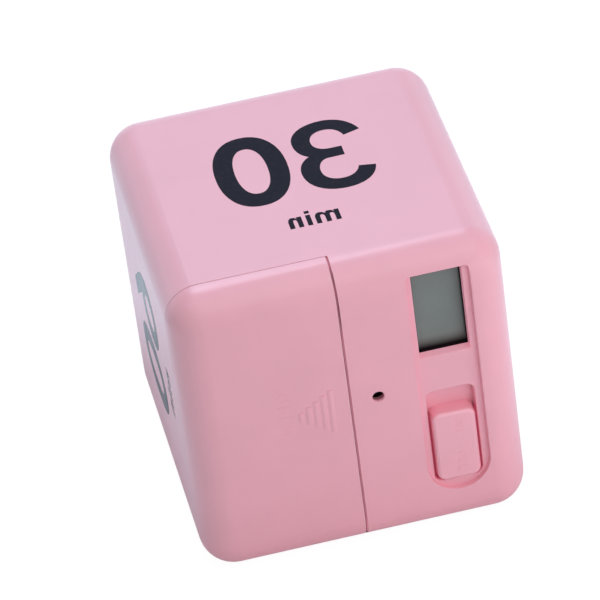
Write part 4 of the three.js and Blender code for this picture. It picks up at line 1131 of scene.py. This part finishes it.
def make_key():
    """The key, whose sides lean in towards its face, and the small raised words on it."""
    bm = merged_node("slide_key")
    raised = [v for v in bm.verts if v.co.y < KEY_LOW.y + KEY_FACE_DEPTH]
    for axis in (0, 2):
        low, high = (pick(v.co[axis] for v in raised) for pick in (min, max))
        share = 1 - 2 * KEY_LEAN / (high - low)
        for v in raised:
            v.co[axis] = (low + high) / 2 * (1 - share) + v.co[axis] * share
    seat(finished("key_shell", bm, SHELL_ANGLE, key_plastic()), "key", "pink_key", "slide_key")
    dressed("switch_lever", "black_plastic", black_plastic(), edge_radius=sizes().edge_radius)
    place = (middle_of("slide_key").x + KEY_WORD_OFFSET, KEY_LOW.y)
    for text, z in KEY_WORDS:
        name = "key_word_" + text.lower()
        word = raised_word(name, text, *place, z, KEY_WORD_HEIGHT, KEY_WORD_GAP, key_plastic())
        seat(word, "key", "pink_key")


class FLIPTIMER_OT_key(bpy.types.Operator):
    """Make the slide key, its raised words and the switch lever that it drives"""

    bl_idname = "flip_timer.key"
    bl_label = "Slide Key"

    def execute(self, context):
        make_key()
        return {"FINISHED"}


# Printed times

PRINT_SINK = 0.01 * MM
DIGITS_ABOVE_MIDDLE = -7.5 * MM
LETTERS_ABOVE_MIDDLE = -17.45 * MM
LETTER_GAP_SHARE = 0.22
TOP_PRINT_SHIFT = 0.1 * MM
LEFT_PRINT_SHIFT = -2.4 * MM
LEFT_PRINT_RISE = 1.6 * MM


def make_print(name, number, origin, reading, out):
    """One printed time. The order of its signs runs in the reading direction, which is the mirrored one."""
    height, small = sizes().digit_height, sizes().letter_height
    lines = [
        text_loops(number, height, sizes().digit_gap, DIGITS_ABOVE_MIDDLE),
        text_loops("min", small, small * LETTER_GAP_SHARE, LETTERS_ABOVE_MIDDLE),
    ]
    place = face_frame(Vector(origin), reading, Y, out)
    seat(lettered(name, lines, place, -PRINT_SINK, sizes().print_thickness, ink()), "case", "pink_shell")


def make_prints():
    """The four times, on the faces that turn up when the cube is set down."""
    left = (HOUSING_LOW.x, MIDDLE.y + LEFT_PRINT_SHIFT, MIDDLE.z + LEFT_PRINT_RISE)
    make_print("print_top", "30", (TOP_PRINT_SHIFT, MIDDLE.y, HOUSING_HIGH.z), -X, Z)
    make_print("print_left", "60", left, -Z, -X)
    make_print("print_right", "15", (HOUSING_HIGH.x, MIDDLE.y, MIDDLE.z), Z, X)
    make_print("print_bottom", "5", (0, MIDDLE.y, HOUSING_LOW.z), X, -Z)


class FLIPTIMER_OT_prints(bpy.types.Operator):
    """Print the times on the four faces that can be turned up"""

    bl_idname = "flip_timer.prints"
    bl_label = "Printed Times"

    def execute(self, context):
        make_prints()
        return {"FINISHED"}


# Display


def make_display():
    """The display and the soft and hard pieces that hold it."""
    edge = sizes().edge_radius
    dressed("display_glass", "display_glass", display_face(), edge_radius=edge, name="display_panel")
    dressed("display_gasket", "black_foam", foam(), name="gasket_form")
    dressed("display_frame", "white_plastic", white_plastic(), edge_radius=edge)
    dressed("zebra_strip", "striped_rubber", striped_rubber(), edge_radius=edge)


class FLIPTIMER_OT_display(bpy.types.Operator):
    """Make the display, its frame, its gasket and its connector strip"""

    bl_idname = "flip_timer.display"
    bl_label = "Display"

    def execute(self, context):
        make_display()
        return {"FINISHED"}


# Battery bay

CELL_SEGMENTS = 48
CELL_NUB_HEIGHT = 1.0 * MM
CELL_NUB_RADIUS = 1.9 * MM
CELL_LIP = 0.45 * MM
CELL_WRAP_FOLD = 0.9 * MM
CELL_BASE_DIMPLE = 0.3 * MM


def cell_profile(radius, length):
    """A cell from its flat base to its nub, as (radius, height), and the material of each stretch."""
    shoulder = length - CELL_NUB_HEIGHT
    fold = radius - CELL_WRAP_FOLD
    steel = [
        (0.0, CELL_BASE_DIMPLE),
        (fold - 2 * CELL_LIP, CELL_BASE_DIMPLE),
        (fold - CELL_LIP, CELL_BASE_DIMPLE / 2),
        (fold, CELL_BASE_DIMPLE / 2),
    ]
    wrap = [
        (fold, 0.0),
        (radius - CELL_LIP, 0.0),
        (radius - CELL_LIP / 4, CELL_LIP / 4),
        (radius, CELL_LIP),
        (radius, shoulder - CELL_LIP),
        (radius - CELL_LIP / 4, shoulder - CELL_LIP / 4),
        (radius - CELL_LIP, shoulder),
        (fold, shoulder),
    ]
    head = [
        (fold, shoulder - CELL_BASE_DIMPLE / 2),
        (CELL_NUB_RADIUS + CELL_LIP, shoulder - CELL_BASE_DIMPLE / 2),
        (CELL_NUB_RADIUS, shoulder + CELL_LIP / 4),
        (CELL_NUB_RADIUS, length - CELL_BASE_DIMPLE),
        (CELL_NUB_RADIUS - CELL_BASE_DIMPLE, length),
        (0.0, length),
    ]
    return steel + wrap + head, [1] * len(steel) + [0] * (len(wrap) - 1) + [1] * len(head)


def make_cell(node, up):
    """A cell with its wrap folded over both ends, its nub towards up."""
    low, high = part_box(node)
    negative, positive = (low.z, high.z) if up.z > 0 else (high.z, low.z)
    profile, indices = cell_profile((high.x - low.x) / 2, high.z - low.z)
    middle = middle_of(node)
    bm = turned(profile, CELL_SEGMENTS, Vector((middle.x, middle.y, negative)), up, X, indices)
    name = node + "_form"
    wrap = cell_wrap(name + "_wrap", positive, negative)
    seat(finished(name, bm, SMALL_ANGLE, wrap, plated_steel()), "case", "cell_wrap", node)


def make_battery_bay():
    """The tray, both cells, the plates and the springs."""
    dressed("battery_tray", "pink_tray", tray_plastic(), name="tray_form")
    make_cell("cell_left", Z)
    make_cell("cell_right", -Z)
    for node in ("contact_negative", "contact_positive", "contact_bridge"):
        dressed(node, "plated_steel", plated_steel(), edge_radius=sizes().edge_radius)
    for node in ("spring_lower", "spring_upper"):
        dressed(node, "plated_steel", spring_steel(), ROUND_ANGLE)


class FLIPTIMER_OT_battery_bay(bpy.types.Operator):
    """Make the battery tray, the cells, the contact plates and the springs"""

    bl_idname = "flip_timer.battery_bay"
    bl_label = "Battery Bay"

    def execute(self, context):
        make_battery_bay()
        return {"FINISHED"}


# Circuit board and what it carries

SOLDER_RADIUS = 0.75 * MM
SOLDER_HEIGHT = 0.5 * MM
DROP_SEGMENTS, DROP_RINGS = 16, 8
PIN_SPREAD = 1.3 * MM


def solder_tree():
    """A flattened drop at each point."""
    inputs = [
        ("Points", GEOMETRY, None), ("Radius", FLOAT, 1.0), ("Height", FLOAT, 1.0),
        ("Material", MATERIAL, None),
    ]
    tree, given, result = new_tree("GeometryNodeTree", "solder_joints", inputs, GEOMETRY_OUTPUT)
    sphere = {"Segments": DROP_SEGMENTS, "Rings": DROP_RINGS, "Radius": 1.0}
    drop = first(tree, "GeometryNodeMeshUVSphere", sphere)
    size = combined(tree, given["Radius"], given["Height"], given["Radius"])
    placed = {"Points": given["Points"], "Instance": drop, "Scale": size}
    end_tree(tree, first(tree, "GeometryNodeInstanceOnPoints", placed), given["Material"], result)
    return tree


def pin_places():
    """Where pins come through the board: three for the switch and two for every other part."""
    pins = []
    for node in ("tilt_base_left", "tilt_base_right", "crystal"):
        pins.append((node, BOARD_LOW.y, X * PIN_SPREAD / 2, (-1, 1)))
    pins.append(("buzzer_case", BOARD_HIGH.y, Z * PIN_SPREAD, (-1, 1)))
    pins.append(("switch_body", BOARD_HIGH.y, Z * 2 * PIN_SPREAD, (-1, 0, 1)))
    places = []
    for node, y, step, turns in pins:
        middle = middle_of(node)
        places += [(middle.x + turn * step.x, y, middle.z + turn * step.z) for turn in turns]
    return places


def make_solder():
    values = {"Radius": SOLDER_RADIUS, "Height": SOLDER_HEIGHT, "Material": solder()}
    joints = grown("solder_joints", solder_tree(), values, pin_places())
    joints.data.shade_smooth()
    seat(joints, "case", "plated_steel")


def make_board():
    """The board, the parts on it and the leads that feed it."""
    dressed("circuit_board", "green_board", board_mask(), name="board_form")
    dressed("switch_body", "plated_steel", plated_steel(), edge_radius=sizes().edge_radius)
    dressed("buzzer_case", "black_plastic", black_plastic(), name="buzzer_form")
    dressed("buzzer_seal", "black_foam", bpy.data.materials["foam"])
    for side in ("left", "right"):
        dressed("tilt_can_" + side, "plated_steel", plated_steel())
        dressed("tilt_base_" + side, "black_plastic", black_plastic())
        dressed("tilt_ball_" + side, "ball_steel", ball_steel(), BALL_ANGLE)
    dressed("chip_blob", "black_epoxy", epoxy(), ROUND_ANGLE)
    dressed("crystal", "plated_steel", plated_steel())
    red = lead_plastic("red_insulation", (0.42, 0.02, 0.018))
    black = lead_plastic("black_insulation", (0.018, 0.018, 0.02))
    dressed("lead_positive", "red_lead", red, ROUND_ANGLE)
    dressed("lead_negative", "black_lead", black, ROUND_ANGLE)
    make_solder()


class FLIPTIMER_OT_board(bpy.types.Operator):
    """Make the circuit board with its parts, solder joints and leads"""

    bl_idname = "flip_timer.board"
    bl_label = "Circuit Board"

    def execute(self, context):
        make_board()
        return {"FINISHED"}


# Screws

SCREW_NODES = ("board_screw_1", "board_screw_2", "board_screw_3", "tray_screw_upper", "tray_screw_lower")
SCREW_SEGMENTS = 48
HEAD_RINGS = 14
HEAD_HEIGHT = 1.2 * MM
HEAD_CROWN_SHARE = 0.55
SHANK_RADIUS = 0.75 * MM
THREAD_DEPTH = 0.14 * MM
THREAD_PITCH = 0.6 * MM
CROSS_HALF_WIDTH = 0.3 * MM
CROSS_REACH = 1.05 * MM
CROSS_DEPTH = 0.65 * MM
CROSS_WALL = 0.16 * MM


def cross_depth(a, b):
    """How deep the cross-shaped recess is at a point of the head."""
    short, long = sorted((abs(a), abs(b)))
    side = min(max((CROSS_HALF_WIDTH - short) / CROSS_WALL, 0), 1)
    end = min(max((CROSS_REACH - long) / (2 * CROSS_WALL), 0), 1)
    return CROSS_DEPTH * side * end


def screw_form(name, head_radius, length):
    """A pan-head screw with a cross recess and a ribbed shank. The origin is under its head, facing -Y."""
    bm = bmesh.new()
    spokes = spokes_of(SCREW_SEGMENTS)
    tip = bm.verts.new((0, HEAD_HEIGHT - CROSS_DEPTH, 0))
    rings = []
    for ring in range(1, HEAD_RINGS + 1):
        share = ring / HEAD_RINGS
        radius = head_radius * share
        crown = HEAD_HEIGHT * (1 - HEAD_CROWN_SHARE * share**4)
        points = [(radius * c, radius * s) for c, s in spokes]
        rings.append([bm.verts.new((a, crown - cross_depth(a, b), b)) for a, b in points])
    profile = [(head_radius, 0.0), (SHANK_RADIUS, 0.0)]
    for turn in range(int(length / THREAD_PITCH) - 1):
        crest = -(turn + 0.5) * THREAD_PITCH
        profile += [(SHANK_RADIUS, crest), (SHANK_RADIUS - THREAD_DEPTH, crest - THREAD_PITCH / 2)]
    profile.append((SHANK_RADIUS / 2, -length))
    rings += [[bm.verts.new((radius * c, y, radius * s)) for c, s in spokes] for radius, y in profile]
    fan_faces(bm, tip, rings[0])
    for lower, upper in zip(rings, rings[1:]):
        ring_faces(bm, lower, upper)
    bm.faces.new(rings[-1])
    bmesh.ops.recalc_face_normals(bm, faces=bm.faces)
    made = finished(name, bm, SCREW_ANGLE)
    made.modifiers.clear()
    return made


def screw_tree():
    """The same screw at each point."""
    inputs = [("Points", GEOMETRY, None), ("Screw", "NodeSocketObject", None), ("Material", MATERIAL, None)]
    tree, given, result = new_tree("GeometryNodeTree", "screws", inputs, GEOMETRY_OUTPUT)
    form = connect(tree, "GeometryNodeObjectInfo", {"Object": given["Screw"]}).outputs["Geometry"]
    placed = first(tree, "GeometryNodeInstanceOnPoints", {"Points": given["Points"], "Instance": form})
    end_tree(tree, placed, given["Material"], result)
    return tree


def make_screws():
    """All the screws, with their heads to the back."""
    low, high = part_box(SCREW_NODES[0])
    form = screw_form("screw_form", (high.x - low.x) / 2, high.y - low.y - HEAD_HEIGHT)
    places = []
    for node in SCREW_NODES:
        middle = middle_of(node)
        places.append((middle.x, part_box(node)[1].y - HEAD_HEIGHT, middle.z))
    screws = grown("screws", screw_tree(), {"Screw": form, "Material": screw_steel()}, places)
    bpy.data.objects.remove(form)
    seat(screws, "case", "screw_steel", *SCREW_NODES)


class FLIPTIMER_OT_screws(bpy.types.Operator):
    """Make the screws that hold the board and the battery tray"""

    bl_idname = "flip_timer.screws"
    bl_label = "Screws"

    def execute(self, context):
        make_screws()
        return {"FINISHED"}


# Stage

CAMERA_AZIMUTH = math.radians(-7.717)
CAMERA_ELEVATION = math.radians(35.432)
CAMERA_ROLL = math.radians(-7.944)
CAMERA_TARGET = Vector((-2.486, 1.978, 35.285)) * MM
CAMERA_DISTANCE = 974.5 * MM
CAMERA_SENSOR = 36.0
CAMERA_LENS = 293.27
CLIP_FACTOR = 10
FLOOR_HALF = 3.0
FLOOR_DROP = 0.05 * MM
FLOOR_SHADOW_SHARE = 0.12  # of the floor's own shading, in what the camera sees
MIRRORED_SHADOW_SHARE = 0.5  # and in what glossy faces reflect
WORLD_LIGHT = (0.12, 0.185, 0.157, 1)
REFLECTED_WORLD = (1.58, 1.91, 2.1, 1)
FLOOR_GLOW = 1.08
FLOOR_REFLECTION = (1.55, 1.84, 2.15, 1)
FLOOR_NEAR_REFLECTION = (0.3, 0.33, 0.39, 1)  # beside the cube, where its own shade lies
FLOOR_DARK_REACH = 30 * MM
EVEN_WHITE = (1.0, 1.0, 1.0)
# Each lamp's name, power, side, distance and colour, and the direction in degrees from which it lights the
# middle of the cube: to the right of the front, and up.
LAMPS = (
    ("lamp_high_front", 4.7, 1.2, 1.0, EVEN_WHITE, 0, 60),
    ("lamp_near_right", 0.103, 0.2, 0.32, EVEN_WHITE, 35, 40),
    ("lamp_low_front", 0.096, 0.15, 0.3, EVEN_WHITE, 24, 0),
    ("lamp_low_right", 0.038, 0.12, 0.25, EVEN_WHITE, 50, 0),
    ("lamp_corner", 0.026, 0.08, 0.16, EVEN_WHITE, 65, -8),
    ("lamp_back", 3.5, 0.4, 1.0, (0.78, 0.83, 1.0), 180, 62),
    ("lamp_low_back", 1.0, 0.5, 1.0, (0.53, 0.77, 1.0), 180, 45),
)


def floor_finish():
    """A pale floor that looks white and keeps a soft share of the shadow."""
    material, tree, shader = new_material("floor")
    grain = grained(tree, opaque(colours().floor), roughness=0.8, variation=0.01, patches=3)
    cover(tree, shader, grain["Colour"], grain["Roughness"])
    flat = vector_sum(tree, "MULTIPLY", object_place(tree), (1.0, 1.0, 0.0))
    beyond = vector_sum(tree, "SUBTRACT", vector_sum(tree, "ABSOLUTE", flat), (HOUSING_HIGH.x, -FRONT, 0.0))
    distance = vector_sum(tree, "LENGTH", vector_sum(tree, "MAXIMUM", beyond))
    # Painted shadow: what glossy faces reflect of the floor darkens within this reach of the cube.
    open_share = ranged(tree, distance, 0.0, 1.0, 0.0, FLOOR_DARK_REACH)
    rays = connect(tree, "ShaderNodeLightPath").outputs
    reflected = blended(tree, open_share, FLOOR_NEAR_REFLECTION, FLOOR_REFLECTION)
    tint = blended(tree, rays["Is Glossy Ray"], WHITE, reflected)
    glow = first(tree, "ShaderNodeEmission", {"Color": tint, "Strength": FLOOR_GLOW})
    seen = calculated(tree, "MULTIPLY", rays["Is Camera Ray"], 1 - FLOOR_SHADOW_SHARE)
    mirrored = calculated(tree, "MULTIPLY", rays["Is Glossy Ray"], 1 - MIRRORED_SHADOW_SHARE)
    share = calculated(tree, "MAXIMUM", seen, mirrored)
    surface = tree.nodes["Principled BSDF"].outputs[0]
    both = first(tree, "ShaderNodeMixShader", {0: share, 1: surface, 2: glow})
    tree.links.new(both, tree.nodes["Material Output"].inputs["Surface"])
    return material


def make_floor():
    bm = bmesh.new()
    corners = rectangle(-FLOOR_HALF, FLOOR_HALF, -FLOOR_HALF, FLOOR_HALF)
    bm.faces.new([bm.verts.new((x, y, HOUSING_LOW.z - FLOOR_DROP)) for x, y in corners])
    mesh = bpy.data.meshes.new("floor")
    bm.to_mesh(mesh)
    bm.free()
    add_object("floor", mesh, floor_finish())


def make_world():
    world = bpy.data.worlds.new("studio")
    bpy.context.scene.world = world
    world.use_nodes = True
    tree = world.node_tree
    rays = connect(tree, "ShaderNodeLightPath").outputs
    unseen = blended(tree, rays["Is Glossy Ray"], WORLD_LIGHT, REFLECTED_WORLD)
    shade = blended(tree, rays["Is Camera Ray"], unseen, WHITE)
    background = tree.nodes["Background"]
    tree.links.new(shade, background.inputs["Color"])
    background.inputs["Strength"].default_value = 1.0


def direction(azimuth, elevation):
    """The unit vector from the middle of the stage to a place to the right of the front and up."""
    flat = math.cos(elevation)
    return Vector((math.sin(azimuth) * flat, -math.cos(azimuth) * flat, math.sin(elevation)))


def make_lamp(name, power, side, distance, colour, azimuth, elevation):
    towards = direction(math.radians(azimuth), math.radians(elevation))
    data = bpy.data.lights.new(name, "AREA")
    data.energy = power
    data.size = side
    data.color = colour
    lamp = bpy.data.objects.new(name, data)
    bpy.context.scene.collection.objects.link(lamp)
    lamp.location = MIDDLE + towards * distance
    lamp.rotation_mode = "QUATERNION"
    lamp.rotation_quaternion = (-towards).to_track_quat("-Z", "Y")
    lamp.visible_camera = False


def make_camera():
    """The camera of the photograph, turned a little about its own axis."""
    back = direction(CAMERA_AZIMUTH, CAMERA_ELEVATION)
    right = Vector((math.cos(CAMERA_AZIMUTH), math.sin(CAMERA_AZIMUTH), 0))
    level = Matrix((right, back.cross(right), back)).transposed().to_4x4()
    data = bpy.data.cameras.new("camera")
    data.sensor_width = CAMERA_SENSOR
    data.lens = CAMERA_LENS
    data.clip_start = CAMERA_DISTANCE / CLIP_FACTOR
    data.clip_end = CAMERA_DISTANCE * CLIP_FACTOR
    camera = bpy.data.objects.new("camera", data)
    bpy.context.scene.collection.objects.link(camera)
    place = Matrix.Translation(CAMERA_TARGET + back * CAMERA_DISTANCE)
    camera.matrix_world = place @ level @ Matrix.Rotation(CAMERA_ROLL, 4, "Z")
    bpy.context.scene.camera = camera


def make_stage():
    """Floor, world, lamps and camera."""
    bpy.context.scene.view_settings.view_transform = "Standard"
    make_floor()
    make_world()
    for lamp in LAMPS:
        make_lamp(*lamp)
    make_camera()


class FLIPTIMER_OT_stage(bpy.types.Operator):
    """Make the floor, the soft lamps and the camera"""

    bl_idname = "flip_timer.stage"
    bl_label = "Studio Stage"

    def execute(self, context):
        make_stage()
        return {"FINISHED"}


# Panel and registration

OPERATORS = (
    FLIPTIMER_OT_shells,
    FLIPTIMER_OT_door,
    FLIPTIMER_OT_key,
    FLIPTIMER_OT_prints,
    FLIPTIMER_OT_display,
    FLIPTIMER_OT_battery_bay,
    FLIPTIMER_OT_board,
    FLIPTIMER_OT_screws,
    FLIPTIMER_OT_stage,
)


class FLIPTIMER_PT_panel(bpy.types.Panel):
    """The flip timer's settings and pieces"""

    bl_idname = "FLIPTIMER_PT_panel"
    bl_label = "Flip Timer"
    bl_space_type = "VIEW_3D"
    bl_region_type = "UI"
    bl_category = "Flip Timer"

    def draw(self, context):
        for settings in (context.scene.flip_timer_sizes, context.scene.flip_timer_colours):
            box = self.layout.box()
            for name in settings.__annotations__:
                box.prop(settings, name)
        for operator in OPERATORS:
            self.layout.operator(operator.bl_idname)


CLASSES = (FlipTimerSizes, FlipTimerColours, *OPERATORS, FLIPTIMER_PT_panel)


def register():
    for item in CLASSES:
        bpy.utils.register_class(item)
    bpy.types.Scene.flip_timer_sizes = bpy.props.PointerProperty(type=FlipTimerSizes)
    bpy.types.Scene.flip_timer_colours = bpy.props.PointerProperty(type=FlipTimerColours)


def unregister():
    del bpy.types.Scene.flip_timer_colours
    del bpy.types.Scene.flip_timer_sizes
    for item in reversed(CLASSES):
        bpy.utils.unregister_class(item)


def main():
    """Makes every piece in order."""
    register()
    bpy.ops.flip_timer.shells()
    bpy.ops.flip_timer.door()
    bpy.ops.flip_timer.key()
    bpy.ops.flip_timer.prints()
    bpy.ops.flip_timer.display()
    bpy.ops.flip_timer.battery_bay()
    bpy.ops.flip_timer.board()
    bpy.ops.flip_timer.screws()
    bpy.ops.flip_timer.stage()


if __name__ == "__main__":
    main()
